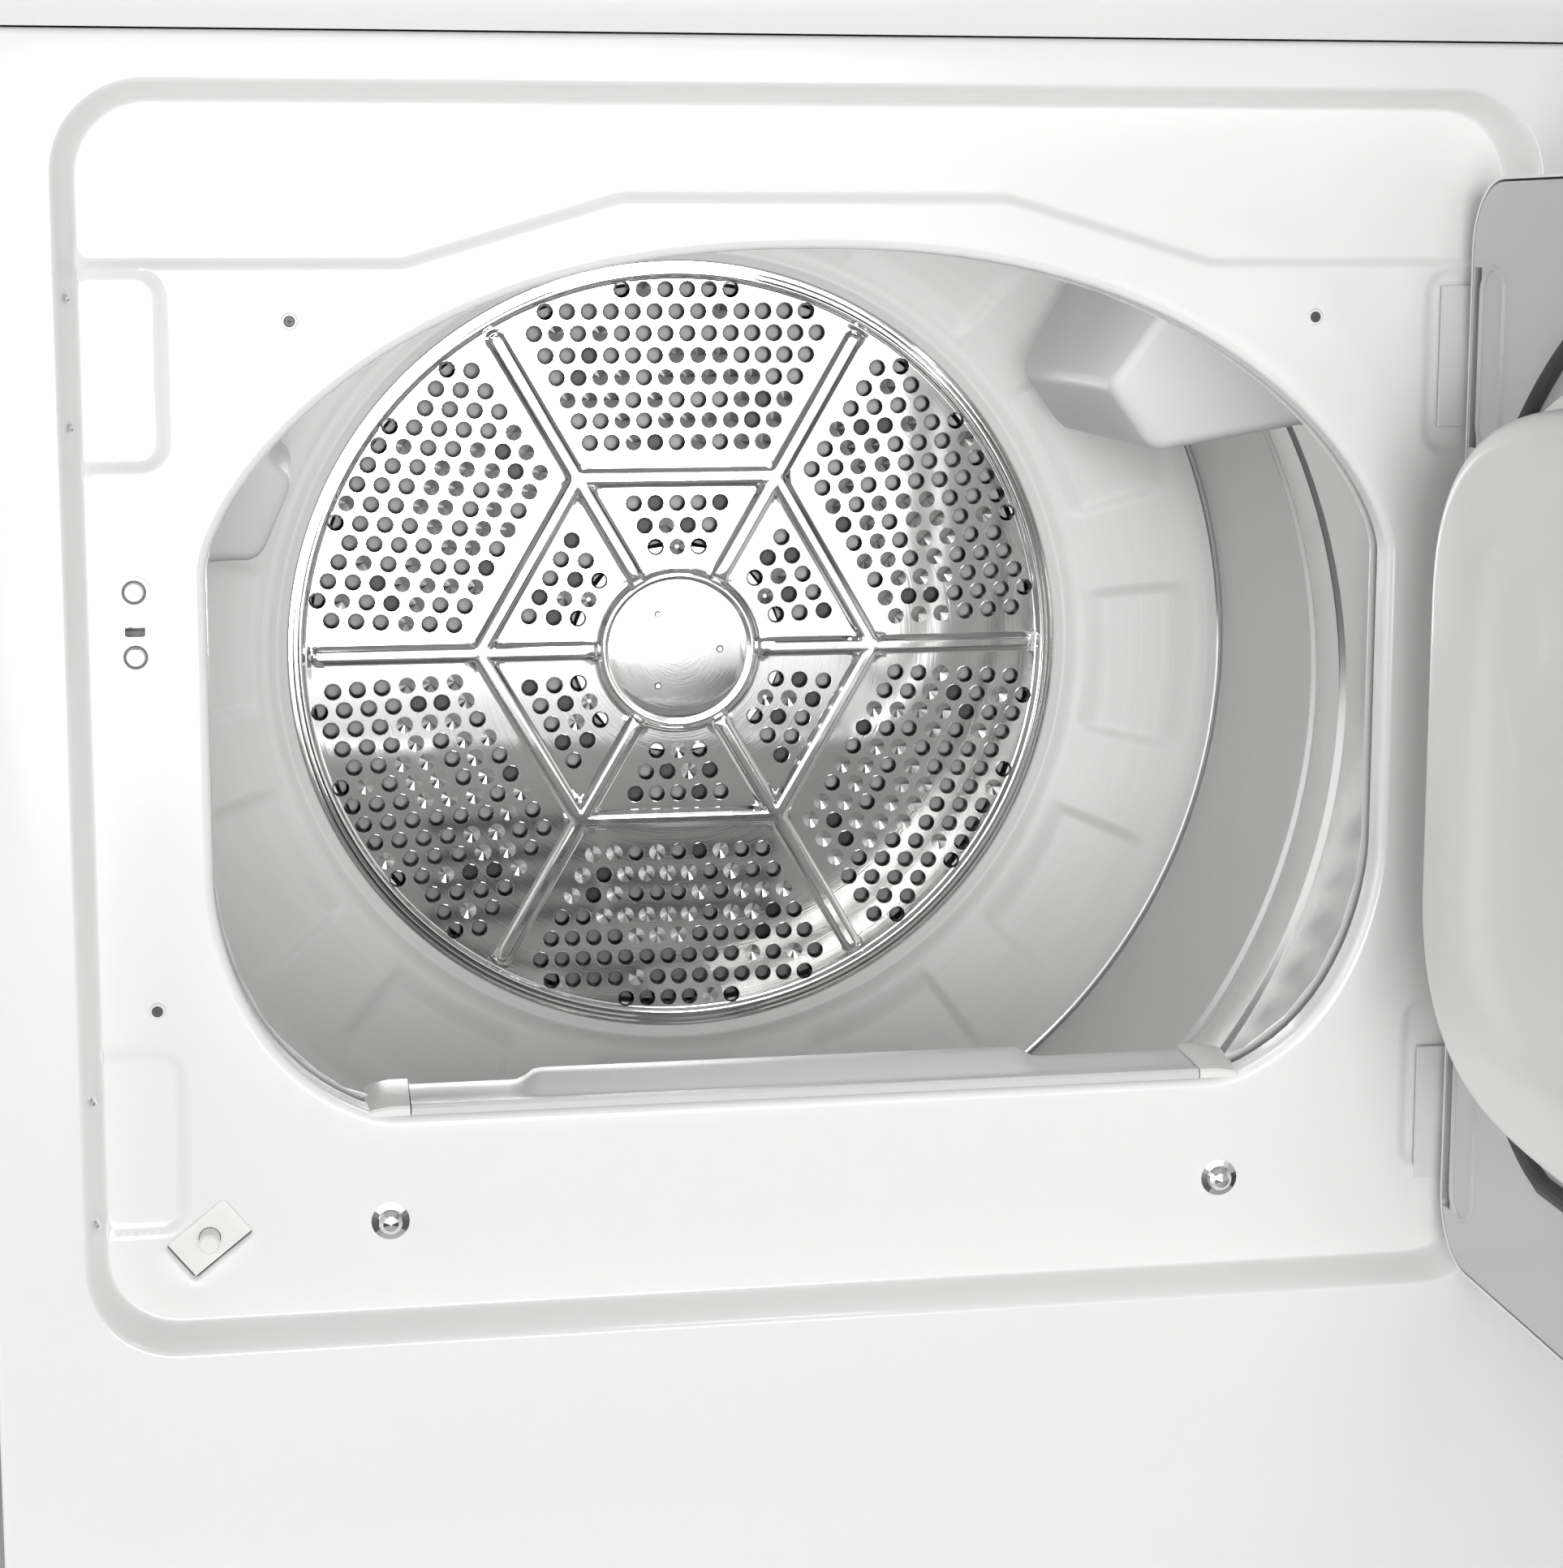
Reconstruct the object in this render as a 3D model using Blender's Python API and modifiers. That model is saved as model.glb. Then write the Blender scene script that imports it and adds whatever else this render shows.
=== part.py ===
"""Front-loading vented clothes dryer, 27 inch class, with its door open at a right angle.

Frame: +X to the dryer's right hand side, +Y into the cabinet, +Z up, metres. The origin is
on the floor, under the middle of the whole object's box with the door open.

Names ending in _Y are distances behind the cabinet's front face, and depth() turns them
into world coordinates. Names ending in _RISE are heights above the drum's axis.
"""

from math import acos, atan2, ceil, cos, degrees, hypot, pi, radians, sin

import bmesh
import bpy
from mathutils import Matrix, Vector

# ---- Fits -------------------------------------------------------------------------------
SEAT = 0.0003  # left between two pieces that touch
SHEET = 0.0012  # cabinet sheet steel
DRUM_SHEET = 0.0010
PLASTIC = 0.0020

# ---- Cabinet ----------------------------------------------------------------------------
CABINET_WIDTH = 0.686
CABINET_DEPTH = 0.640
CABINET_TOP = 0.914
TOP_COVER_HEIGHT = 0.034
FOOT_HEIGHT = 0.020
FOOT_RADIUS = 0.019
FOOT_STEM_RADIUS = 0.006
FOOT_INSET = 0.045
FOOT_TRAVEL = 0.020
PAN_FLANGE = 0.040
CORNER_RETURN = 0.018

# ---- Front panel ------------------------------------------------------------------------
RECESS_DEPTH = 0.022
RECESS_MARGIN = 0.036  # from the cabinet's side to the recess
RECESS_TOP_RISE = 0.2966
RECESS_BOTTOM_RISE = -0.2240
RECESS_WALL_RUN = 0.009
RECESS_CORNER = 0.038
OPENING_LEDGE = 0.037  # from the bulkhead's collar to the opening's side
OPENING_CROWN_LEDGE = 0.0587
OPENING_SILL_RISE = -0.1320
OPENING_SHOULDER_RISE = 0.100
OPENING_HAUNCH_RISE = -0.030
OPENING_SAG = 0.112
OPENING_FLANGE = 0.012
BULKHEAD_GAP = 0.008  # from the opening's flange to the bulkhead
COLLAR_DEPTH = 0.026
COLLAR_CLEARANCE = 0.0045
GLIDE_THICKNESS = 0.0024
GLIDE_SPAN = (22.0, 62.0)
SLOT_SIZE = (0.125, 0.010)  # the bulkhead's air grille above the lint duct
SLOT_PITCH = 0.022
SLOT_DROP = 0.0555  # from the sill to the highest row
SLOT_MARGIN = 0.035  # from the lowest row to the collar
CATCH_HOLE = (0.0110, 0.0130)

# ---- Drum -------------------------------------------------------------------------------
DRUM_AXIS_Z = 0.565
DRUM_RADIUS = 0.316
DRUM_LENGTH = 0.389
DRUM_SETBACK = 0.012  # from the bulkhead to the drum's front edge
DRUM_STEPS = 36
BEAD_PLACES = (0.189, 0.232)
BEAD_RISE = 0.003
BEAD_HALF = 0.007
LIP_WIDTH = 0.023
LIP_DEPTH = 0.012
BOWL_WIDTH = 0.0948
BOWL_DEPTH = 0.0274
DIFFUSER_THICKNESS = 0.0014
RIM_SEAT = 0.011
HUB_RADIUS = 0.060
SHAFT_RADIUS = 0.0125
SHAFT_RUNNING = 0.0004
BAFFLE_ANGLES = (36.0, 156.0, 276.0)
BAFFLE_HEIGHT = 0.069
BAFFLE_BASE_HALF = 0.050
BAFFLE_RIDGE_HALF = 0.014
BAFFLE_BASE = (0.151, 0.374)  # behind the drum's front edge
BAFFLE_RIDGE = (0.201, 0.351)

# ---- Door -------------------------------------------------------------------------------
DOOR_GAP = 0.012  # from the recess to the door's edge
DOOR_TOP_RISE = 0.2595
DOOR_BOTTOM_RISE = -0.2130
DOOR_CORNER = 0.030
DOOR_THICKNESS = 0.021
DOOR_FLOOR_GAP = 0.008  # from the closed door to the recess floor
DOOR_SOFT_EDGE = 0.004
DOOR_OPEN_ANGLE = 90.0
HINGE_INSET = 0.005
HINGE_SETBACK = 0.010  # from the door's back to the hinge axis
HINGE_RISES = {"top": 0.184, "bottom": -0.1515}
HINGE_BARREL_RADIUS = 0.0036
HINGE_PIN_RADIUS = 0.0018
HINGE_PIN_CLEARANCE = 0.0004
HINGE_KNUCKLE = 0.018
HINGE_LEAF_HEIGHT = 0.060
HINGE_NOTCH_HEIGHT = 0.076
LINER_GAP = 0.006  # from the liner to the opening's side
LINER_CROWN_GAP = 0.0528
LINER_SILL_GAP = 0.011
LINER_BULGE = 0.0385
LINER_DRAFT = 0.010
LINER_FLANGE = 0.008
GASKET_INNER = 0.010
GASKET_WIDTH = 0.008
GASKET_AIR = 0.001  # from the gasket to the recess floor

# ---- Catch, switch and screws on the front panel ----------------------------------------
CATCH_INSET = 0.015  # from the door's edge
CATCH_RISE = 0.079
CATCH_PLATE = (0.0140, 0.0400, 0.0017)
CATCH_SLOT = (0.0080, 0.0100)
CLIP_SIZE = (0.0096, 0.0162, 0.0090)
CLIP_WALL = 0.0008
STRIKE = (0.0040, 0.0180, 0.0080)
STRIKE_FOOT = (0.0100, 0.0012, 0.0280)
SWITCH_INSET = 0.038
SWITCH_RISE = -0.1815
SWITCH_SIZE = (0.0302, 0.0180, 0.0155)
SWITCH_TILT = 38.7
SWITCH_POCKET = 0.003
PLUNGER_RADIUS = 0.0043
PLUNGER_TRAVEL = 0.007
PLUNGER_CLEAR_OF_DOOR = 0.0012
SCREW_X = 0.1817
SCREW_RISE = -0.177
SCREW_HEAD_RADIUS = 0.0054
SCREW_SHANK_RADIUS = 0.0024

# ---- Lint filter and its duct -----------------------------------------------------------
HANDLE_END_GAP = 0.0795  # from the opening's side to the handle's end
HANDLE_DEPTH = 0.0345
HANDLE_THICKNESS = 0.004
HANDLE_OVERHANG = 0.022  # of the handle past the filter's side
FILTER_HEIGHT = 0.198
FILTER_THICKNESS = 0.009
FILTER_RIM = 0.014
FILTER_SCREEN = 0.0012
FILTER_TOP_RAIL = 0.020
DUCT_SIDE = 0.026  # of the duct past the filter's side
DUCT_BOX_HALF = 0.110
DUCT_BOX_Z = (0.050, 0.222)
DUCT_OUTLET_RADIUS = 0.050

# ---- Motor, blower, belt ----------------------------------------------------------------
MOTOR_X = 0.110
MOTOR_Z = 0.135
MOTOR_RADIUS = 0.062
MOTOR_LENGTH = 0.118
MOTOR_SETBACK = 0.024  # behind the blower
MOTOR_BOSS = (0.020, 0.008)
MOTOR_ROUND = 0.010
MOTOR_SHAFT_RADIUS = 0.006
BRACKET_HALF = 0.050
BLOWER_RADIUS = 0.072
BLOWER_CASE_RADIUS = 0.082
BLOWER_LENGTH = 0.061
BLOWER_SETBACK = 0.045  # behind the bulkhead
SPOUT_HEIGHT = 0.058
PULLEY_RADIUS = 0.016
PULLEY_FLANGE = (0.003, 0.002)
BELT_PLACE = 0.286  # behind the drum's front edge
BELT_WIDTH = 0.008
BELT_THICKNESS = 0.0018
BELT_CLEARANCE = 0.0015
IDLER_X = 0.172
IDLER_Z = 0.190
IDLER_RADIUS = 0.022
IDLER_AXLE_RADIUS = 0.004
IDLER_PIVOT_X = 0.235
IDLER_PIVOT_Z = 0.105
IDLER_PIVOT_RADIUS = 0.005
IDLER_ARM_HALF = 0.009
IDLER_ARM_THICKNESS = 0.003
IDLER_POST_HALF = 0.012

# ---- Heater and rear of the cabinet -----------------------------------------------------
HEATER_GAP = 0.0108  # from the perforated disc's edge to the housing
HEATER_SETBACK = 0.0156
HEATER_LENGTH = 0.070
HEATER_FLANGE = 0.014
COIL_INSET = 0.047
COIL_WAVE = 0.014
COIL_WAVES = 24
COIL_WIRE = 0.0016
BEARING_BORE_LENGTH = 0.024
BEARING_RADIUS = 0.028
BEARING_FLANGE = 0.055
DUCT_RADIUS = 0.051
DUCT_OUTSIDE = 0.030
EXHAUST_X = -0.120
EXHAUST_Z = 0.115
TERMINAL_X = -0.240
TERMINAL_Z = 0.800
TERMINAL_HOLE = (0.044, 0.034)
TERMINAL_BLOCK = (0.060, 0.022, 0.040)
TERMINAL_COVER = (0.090, 0.012, 0.080)
CORD_HOLE_RADIUS = 0.0035
LOUVRE = (0.060, 0.006)
LOUVRE_XS = (-0.09, 0.0, 0.09)
LOUVRE_RISES = (-0.09, -0.06, 0.06, 0.09)

# ---- Console ----------------------------------------------------------------------------
CONSOLE_MARGIN = 0.005
CONSOLE_HEIGHT = 0.165
CONSOLE_FOOT_DEPTH = 0.115
CONSOLE_HEAD_DEPTH = 0.060
CONSOLE_BACK = 0.004
CONSOLE_BROW = (0.012, 0.008)
CYCLE_KNOB_X = 0.190
CYCLE_KNOB_RADIUS = 0.032
CYCLE_KNOB_HEIGHT = 0.022
TEMPERATURE_KNOB_X = 0.020
TEMPERATURE_KNOB_RADIUS = 0.021
TEMPERATURE_KNOB_HEIGHT = 0.018
KNOB_STEM_RADIUS = 0.003
START_BUTTON_X = -0.110
START_BUTTON_RADIUS = 0.014
START_BUTTON_HEIGHT = 0.010
START_STEM_RADIUS = 0.011
START_TRAVEL = 0.004
STEM_LENGTH = 0.0075
KNOB_RISE = 0.085
TIMER_RADIUS = 0.030
TIMER_LENGTH = 0.034

# ---- Worked out from the above ----------------------------------------------------------
HALF_WIDTH = CABINET_WIDTH / 2
SEAM_Z = CABINET_TOP - TOP_COVER_HEIGHT
RECESS_HALF = HALF_WIDTH - RECESS_MARGIN
DOOR_HALF = RECESS_HALF - DOOR_GAP
HINGE_X = DOOR_HALF - HINGE_INSET
CATCH_X = CATCH_INSET - DOOR_HALF
SWITCH_X = SWITCH_INSET - DOOR_HALF
CONSOLE_HALF = HALF_WIDTH - CONSOLE_MARGIN

LIP_RADIUS = DRUM_RADIUS - LIP_WIDTH
COLLAR_RADIUS = LIP_RADIUS - COLLAR_CLEARANCE
DIFFUSER_RADIUS = DRUM_RADIUS - BOWL_WIDTH
BAFFLE_RIDGE_RADIUS = DRUM_RADIUS - BAFFLE_HEIGHT
HEATER_RADIUS = DIFFUSER_RADIUS + HEATER_GAP
COIL_RADIUS = HEATER_RADIUS - COIL_INSET
OPENING_HALF = COLLAR_RADIUS - OPENING_LEDGE
OPENING_CROWN_RISE = COLLAR_RADIUS - OPENING_CROWN_LEDGE
LINER_HALF = OPENING_HALF - LINER_GAP
LINER_TOP_RISE = OPENING_CROWN_RISE - LINER_CROWN_GAP
LINER_BOTTOM_RISE = OPENING_SILL_RISE + LINER_SILL_GAP
HANDLE_HALF = OPENING_HALF - HANDLE_END_GAP
FILTER_HALF = HANDLE_HALF - HANDLE_OVERHANG
DUCT_HALF = FILTER_HALF + DUCT_SIDE
SILL_Z = DRUM_AXIS_Z + OPENING_SILL_RISE

FLOOR_Y = RECESS_DEPTH  # front surface of the recess floor
DOOR_BACK_Y = FLOOR_Y - DOOR_FLOOR_GAP
DOOR_FRONT_Y = DOOR_BACK_Y - DOOR_THICKNESS
HINGE_Y = DOOR_BACK_Y - HINGE_SETBACK
GASKET_THICKNESS = DOOR_FLOOR_GAP - SEAT - GASKET_AIR
BULKHEAD_Y = FLOOR_Y + OPENING_FLANGE + BULKHEAD_GAP
DUCT_BACK_Y = BULKHEAD_Y - 0.0005
DRUM_FRONT_Y = BULKHEAD_Y + DRUM_SETBACK
DRUM_REAR_Y = DRUM_FRONT_Y + DRUM_LENGTH
BEAD_YS = tuple(DRUM_FRONT_Y + place for place in BEAD_PLACES)
BAFFLE_BASE_Y = tuple(DRUM_FRONT_Y + place for place in BAFFLE_BASE)
BAFFLE_RIDGE_Y = tuple(DRUM_FRONT_Y + place for place in BAFFLE_RIDGE)
BELT_Y = DRUM_FRONT_Y + BELT_PLACE
DIFFUSER_Y = DRUM_REAR_Y + BOWL_DEPTH
HEATER_FRONT_Y = DIFFUSER_Y + HEATER_SETBACK
HEATER_WEB_Y = HEATER_FRONT_Y + HEATER_LENGTH
BLOWER_Y = (BULKHEAD_Y + BLOWER_SETBACK, BULKHEAD_Y + BLOWER_SETBACK + BLOWER_LENGTH)
MOTOR_Y = (BLOWER_Y[1] + MOTOR_SETBACK, BLOWER_Y[1] + MOTOR_SETBACK + MOTOR_LENGTH)
SPOUT_Z = MOTOR_Z - BLOWER_CASE_RADIUS + PLASTIC

DOOR_REACH = HINGE_X + DOOR_HALF - HINGE_Y
FRONT_Y = (DOOR_REACH - CABINET_DEPTH - DUCT_OUTSIDE) / 2
FORWARD = Vector((0, -1, 0))

PARTS = bpy.data.collections.new("clothes_dryer")
CUTTERS = bpy.data.collections.new("cutters")


# ---- Small helpers ----------------------------------------------------------------------
def depth(y):
    """World Y of a distance behind the cabinet's front face."""
    return FRONT_Y + y


def clear_scene():
    for obj in list(bpy.data.objects):
        bpy.data.objects.remove(obj)
    bpy.context.scene.collection.children.link(PARTS)
    bpy.context.scene.collection.children.link(CUTTERS)


def finish_material(name, colour, roughness, metallic):
    material = bpy.data.materials.new(name)
    material.use_nodes = True
    shader = material.node_tree.nodes["Principled BSDF"]
    shader.inputs["Base Color"].default_value = (*colour, 1.0)
    shader.inputs["Roughness"].default_value = roughness
    shader.inputs["Metallic"].default_value = metallic
    return material


FINISHES = {
    "enamel": ((0.90, 0.90, 0.89), 0.25, 0.0),
    "galvanised": ((0.55, 0.57, 0.58), 0.45, 0.9),
    "drum_steel": ((0.62, 0.63, 0.63), 0.30, 0.9),
    "polished_steel": ((0.80, 0.80, 0.80), 0.12, 1.0),
    "chrome": ((0.85, 0.85, 0.86), 0.08, 1.0),
    "white_plastic": ((0.88, 0.88, 0.87), 0.35, 0.0),
    "grey_plastic": ((0.50, 0.51, 0.52), 0.45, 0.0),
    "black_plastic": ((0.05, 0.05, 0.05), 0.50, 0.0),
    "dark_rubber": ((0.08, 0.08, 0.08), 0.80, 0.0),
    "felt": ((0.70, 0.70, 0.68), 0.95, 0.0),
    "steel": ((0.45, 0.46, 0.47), 0.40, 1.0),
    "heating_wire": ((0.35, 0.30, 0.27), 0.60, 0.8),
}
MATERIALS = {}


def add_mesh(name, bm, finish, location=(0, 0, 0), cutter=False):
    """An object from a bmesh. A cutter has no finish and isn't rendered."""
    mesh = bpy.data.meshes.new(name)
    bm.to_mesh(mesh)
    bm.free()
    obj = bpy.data.objects.new(name, mesh)
    obj.location = location
    (CUTTERS if cutter else PARTS).objects.link(obj)
    if cutter:
        obj.hide_render = True
        obj.display_type = "WIRE"
    else:
        mesh.materials.append(MATERIALS[finish])
    return obj


def box_bmesh(low, high):
    bm = bmesh.new()
    bmesh.ops.create_cube(bm, size=1.0)
    low, high = Vector(low), Vector(high)
    for vert in bm.verts:
        vert.co = Vector(((vert.co[i] + 0.5) * (high[i] - low[i]) + low[i]) for i in range(3))
    return bm


def add_box(name, low, high, finish, cutter=False):
    return add_mesh(name, box_bmesh(low, high), finish, cutter=cutter)


def add_cylinder(name, centre, radius, length, axis, finish, steps=24, cutter=False, taper=1.0):
    """A cylinder centred on a point, its far end's radius times taper."""
    bm = bmesh.new()
    bmesh.ops.create_cone(
        bm, cap_ends=True, segments=steps, radius1=radius, radius2=radius * taper, depth=length
    )
    turn = Vector((0, 0, 1)).rotation_difference(Vector(axis)).to_matrix().to_4x4()
    bmesh.ops.transform(bm, matrix=Matrix.Translation(centre) @ turn, verts=bm.verts)
    return add_mesh(name, bm, finish, cutter=cutter)


def add_turned(name, profile, centre, finish, closed=False, steps=24, along="Y"):
    """A profile of (radius, distance along the axis) turned about the axis through centre."""
    area = sum(
        a[0] * b[1] - b[0] * a[1] for a, b in zip(profile, [*profile[1:], profile[0]])
    )
    points = list(profile) if area < 0 else list(reversed(profile))
    bm = bmesh.new()
    verts = [bm.verts.new((radius, 0, z)) for radius, z in points]
    for a, b in zip(verts, verts[1:]):
        bm.edges.new((a, b))
    if closed:
        bm.edges.new((verts[-1], verts[0]))
    obj = add_mesh(name, bm, finish, centre)
    if along == "Y":
        obj.rotation_euler = (-pi / 2, 0, 0)
    screw = obj.modifiers.new("Turn", "SCREW")
    screw.axis = "Z"
    screw.steps = screw.render_steps = steps
    screw.use_merge_vertices = True
    screw.merge_threshold = 0.00005
    screw.use_smooth_shade = True
    return obj


def add_outline(name, splines, y_low, y_high, finish, cutter=False):
    """Closed outlines of (x, z) points, filled between each other and given a thickness along Y."""
    curve = bpy.data.curves.new(name, "CURVE")
    curve.dimensions = "2D"
    curve.fill_mode = "BOTH"
    curve.extrude = (y_high - y_low) / 2
    for points in splines:
        spline = curve.splines.new("POLY")
        spline.points.add(len(points) - 1)
        for point, (x, z) in zip(spline.points, points):
            point.co = (x, z, 0, 1)
        spline.use_cyclic_u = True
    drawn = bpy.data.objects.new(name, curve)
    drawn.location = (0, (y_low + y_high) / 2, 0)
    drawn.rotation_euler = (pi / 2, 0, 0)
    PARTS.objects.link(drawn)
    graph = bpy.context.evaluated_depsgraph_get()
    bm = bmesh.new()
    bm.from_mesh(bpy.data.meshes.new_from_object(drawn.evaluated_get(graph)))
    bmesh.ops.transform(bm, matrix=drawn.matrix_world, verts=bm.verts)
    bmesh.ops.remove_doubles(bm, verts=bm.verts, dist=1e-6)
    bmesh.ops.recalc_face_normals(bm, faces=bm.faces)
    bpy.data.objects.remove(drawn)
    return add_mesh(name, bm, finish, cutter=cutter)


def add_shell(name, loops, facing, thickness, finish, cap=True):
    """A skin over a row of closed loops, thickened away from the side that it faces.

    Loops with equal counts are joined by bands. Others lie in one plane and are filled
    between. The last loop is capped if asked.
    """
    bm = bmesh.new()
    rings = [[bm.verts.new(point) for point in loop] for loop in loops]
    for ring in rings:
        for a, b in zip(ring, [*ring[1:], ring[0]]):
            bm.edges.new((a, b))
    for ring, following in zip(rings, rings[1:]):
        if len(ring) == len(following):
            for i in range(len(ring)):
                j = (i + 1) % len(ring)
                bm.faces.new((ring[i], ring[j], following[j], following[i]))
        else:
            edges = [
                bm.edges.get((loop[i], loop[(i + 1) % len(loop)]))
                for loop in (ring, following)
                for i in range(len(loop))
            ]
            bmesh.ops.triangle_fill(bm, edges=edges, use_beauty=True)
    if cap:
        bm.faces.new(rings[-1])
    bmesh.ops.recalc_face_normals(bm, faces=bm.faces)
    if sum((f.normal * f.calc_area() for f in bm.faces), Vector()).dot(facing) < 0:
        bmesh.ops.reverse_faces(bm, faces=bm.faces)
    obj = add_mesh(name, bm, finish)
    solidify = obj.modifiers.new("Sheet", "SOLIDIFY")
    solidify.thickness = thickness
    solidify.offset = -1.0
    solidify.use_even_offset = True
    return obj


def add_tube(name, points, radius, finish, cyclic=False):
    curve = bpy.data.curves.new(name, "CURVE")
    curve.dimensions = "3D"
    curve.bevel_depth = radius
    curve.bevel_resolution = 1
    curve.use_fill_caps = True
    spline = curve.splines.new("POLY")
    spline.points.add(len(points) - 1)
    for point, place in zip(spline.points, points):
        point.co = (*place, 1)
    spline.use_cyclic_u = cyclic
    obj = bpy.data.objects.new(name, curve)
    PARTS.objects.link(obj)
    curve.materials.append(MATERIALS[finish])
    return obj


def combine(obj, other, operation):
    """Cuts from or joins to an object. A joined piece becomes a hidden helper."""
    modifier = obj.modifiers.new(operation.title(), "BOOLEAN")
    modifier.operation = operation
    modifier.object = other
    if other.name in PARTS.objects:
        PARTS.objects.unlink(other)
        CUTTERS.objects.link(other)
    other.hide_render = True
    other.display_type = "WIRE"
    return obj


def cut(obj, *cutters):
    for cutter in cutters:
        combine(obj, cutter, "DIFFERENCE")
    return obj


def join(obj, *others):
    for other in others:
        combine(obj, other, "UNION")
    return obj


def bevel(obj, width, segments=2):
    modifier = obj.modifiers.new("Round", "BEVEL")
    modifier.width = width
    modifier.segments = segments
    modifier.limit_method = "ANGLE"
    return obj


# ---- Outlines ---------------------------------------------------------------------------
def rounded_rectangle(x_low, x_high, z_low, z_high, radius, steps=4):
    corners = (
        (x_high - radius, z_high - radius, 0),
        (x_low + radius, z_high - radius, 90),
        (x_low + radius, z_low + radius, 180),
        (x_high - radius, z_low + radius, 270),
    )
    return [
        (
            x + radius * cos(radians(start + 90 * i / steps)),
            z + radius * sin(radians(start + 90 * i / steps)),
        )
        for x, z, start in corners
        for i in range(steps + 1)
    ]


def centred(x, z, width, height, radius, steps=4):
    """A rounded rectangle about a point."""
    return rounded_rectangle(x - width / 2, x + width / 2, z - height / 2, z + height / 2, radius, steps)


def circle(radius, x=0.0, z=0.0, steps=DRUM_STEPS):
    return [
        (x + radius * cos(2 * pi * i / steps), z + radius * sin(2 * pi * i / steps))
        for i in range(steps)
    ]


def arched(half, crown, shoulder, upper, haunch, sag, lower, sill, steps=9):
    """An arch over a sill, symmetric about X = 0, as two superellipse ends.

    upper and lower are the pairs of exponents of the two ends.
    """
    def end(share, powers):
        return (1 - share ** powers[0]) ** (1 / powers[1])

    shares = [sin(pi / 2 * i / steps) for i in range(steps + 1)]
    top = [(half * s, shoulder + (crown - shoulder) * end(s, upper)) for s in shares]
    bottom = [(half * s, max(sill, haunch - sag * end(s, lower))) for s in shares]
    right = bottom + top[::-1]
    left = [(-x, z) for x, z in right[::-1] if x > 1e-9]
    return [(x, DRUM_AXIS_Z + z) for x, z in right + left]


def opening_outline(grow=0.0):
    return arched(
        OPENING_HALF + grow,
        OPENING_CROWN_RISE + grow,
        OPENING_SHOULDER_RISE,
        (2.3, 1.5),
        OPENING_HAUNCH_RISE,
        OPENING_SAG + grow,
        (6.0, 1.7),
        OPENING_SILL_RISE - grow,
        steps=12,
    )


def liner_outline(grow=0.0):
    return arched(
        LINER_HALF + grow,
        LINER_TOP_RISE + grow,
        0.085,
        (5.0, 2.5),
        -0.030,
        -0.030 - LINER_BOTTOM_RISE + grow,
        (6.0, 2.2),
        LINER_BOTTOM_RISE - grow,
    )


def at(points, y):
    """(x, z) points placed at a distance behind the front face."""
    return [Vector((x, depth(y), z)) for x, z in points]


# ---- Cabinet ----------------------------------------------------------------------------
def make_base():
    inside = HALF_WIDTH - SHEET - SEAT
    back = CABINET_DEPTH - SHEET - SEAT
    front = FLOOR_Y - 0.004
    pan = add_box(
        "base_pan",
        (-inside, depth(front), FOOT_HEIGHT),
        (inside, depth(back), FOOT_HEIGHT + PAN_FLANGE),
        "galvanised",
    )
    hollow = add_box(
        "base_hollow",
        (-inside + SHEET, depth(front + SHEET), FOOT_HEIGHT + SHEET),
        (inside - SHEET, depth(back - SHEET), FOOT_HEIGHT + PAN_FLANGE + SHEET),
        None,
        cutter=True,
    )
    cut(pan, hollow)
    for side, x in (("left", -1), ("right", 1)):
        for end, y in (("front", FLOOR_Y + FOOT_INSET), ("rear", CABINET_DEPTH - FOOT_INSET)):
            place = (x * (HALF_WIDTH - FOOT_INSET), depth(y), 0)
            hole = add_cylinder(
                f"foot_hole_{end}_{side}",
                (place[0], place[1], FOOT_HEIGHT),
                FOOT_STEM_RADIUS + SEAT,
                0.02,
                (0, 0, 1),
                None,
                cutter=True,
            )
            cut(pan, hole)
            stem_top = FOOT_HEIGHT + FOOT_TRAVEL + 0.010
            add_turned(
                f"foot_{end}_{side}",
                [
                    (0, 0),
                    (FOOT_RADIUS, 0),
                    (FOOT_RADIUS, 0.008),
                    (0.010, 0.012),
                    (0.010, FOOT_HEIGHT - SEAT),
                    (FOOT_STEM_RADIUS, FOOT_HEIGHT - SEAT),
                    (FOOT_STEM_RADIUS, stem_top),
                    (0, stem_top),
                ],
                place,
                "dark_rubber",
                steps=20,
                along="Z",
            )


def make_sides():
    """Each side panel is one sheet with its front and rear edges turned in."""
    for side, x in (("left", -1), ("right", 1)):
        outer, inner = x * HALF_WIDTH, x * (HALF_WIDTH - SHEET)
        front, back = SHEET + SEAT, CABINET_DEPTH
        panel = add_box(
            f"side_panel_{side}",
            (min(outer, inner), depth(front), FOOT_HEIGHT),
            (max(outer, inner), depth(back), SEAM_Z - SEAT),
            "enamel",
        )
        turned_in = x * (HALF_WIDTH - CORNER_RETURN)
        rear_return = add_box(
            f"rear_return_{side}",
            (min(inner, turned_in) - 1e-4, depth(back - SHEET), FOOT_HEIGHT),
            (max(inner, turned_in) + 1e-4, depth(back), SEAM_Z - SEAT),
            "enamel",
        )
        join(panel, rear_return)


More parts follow.
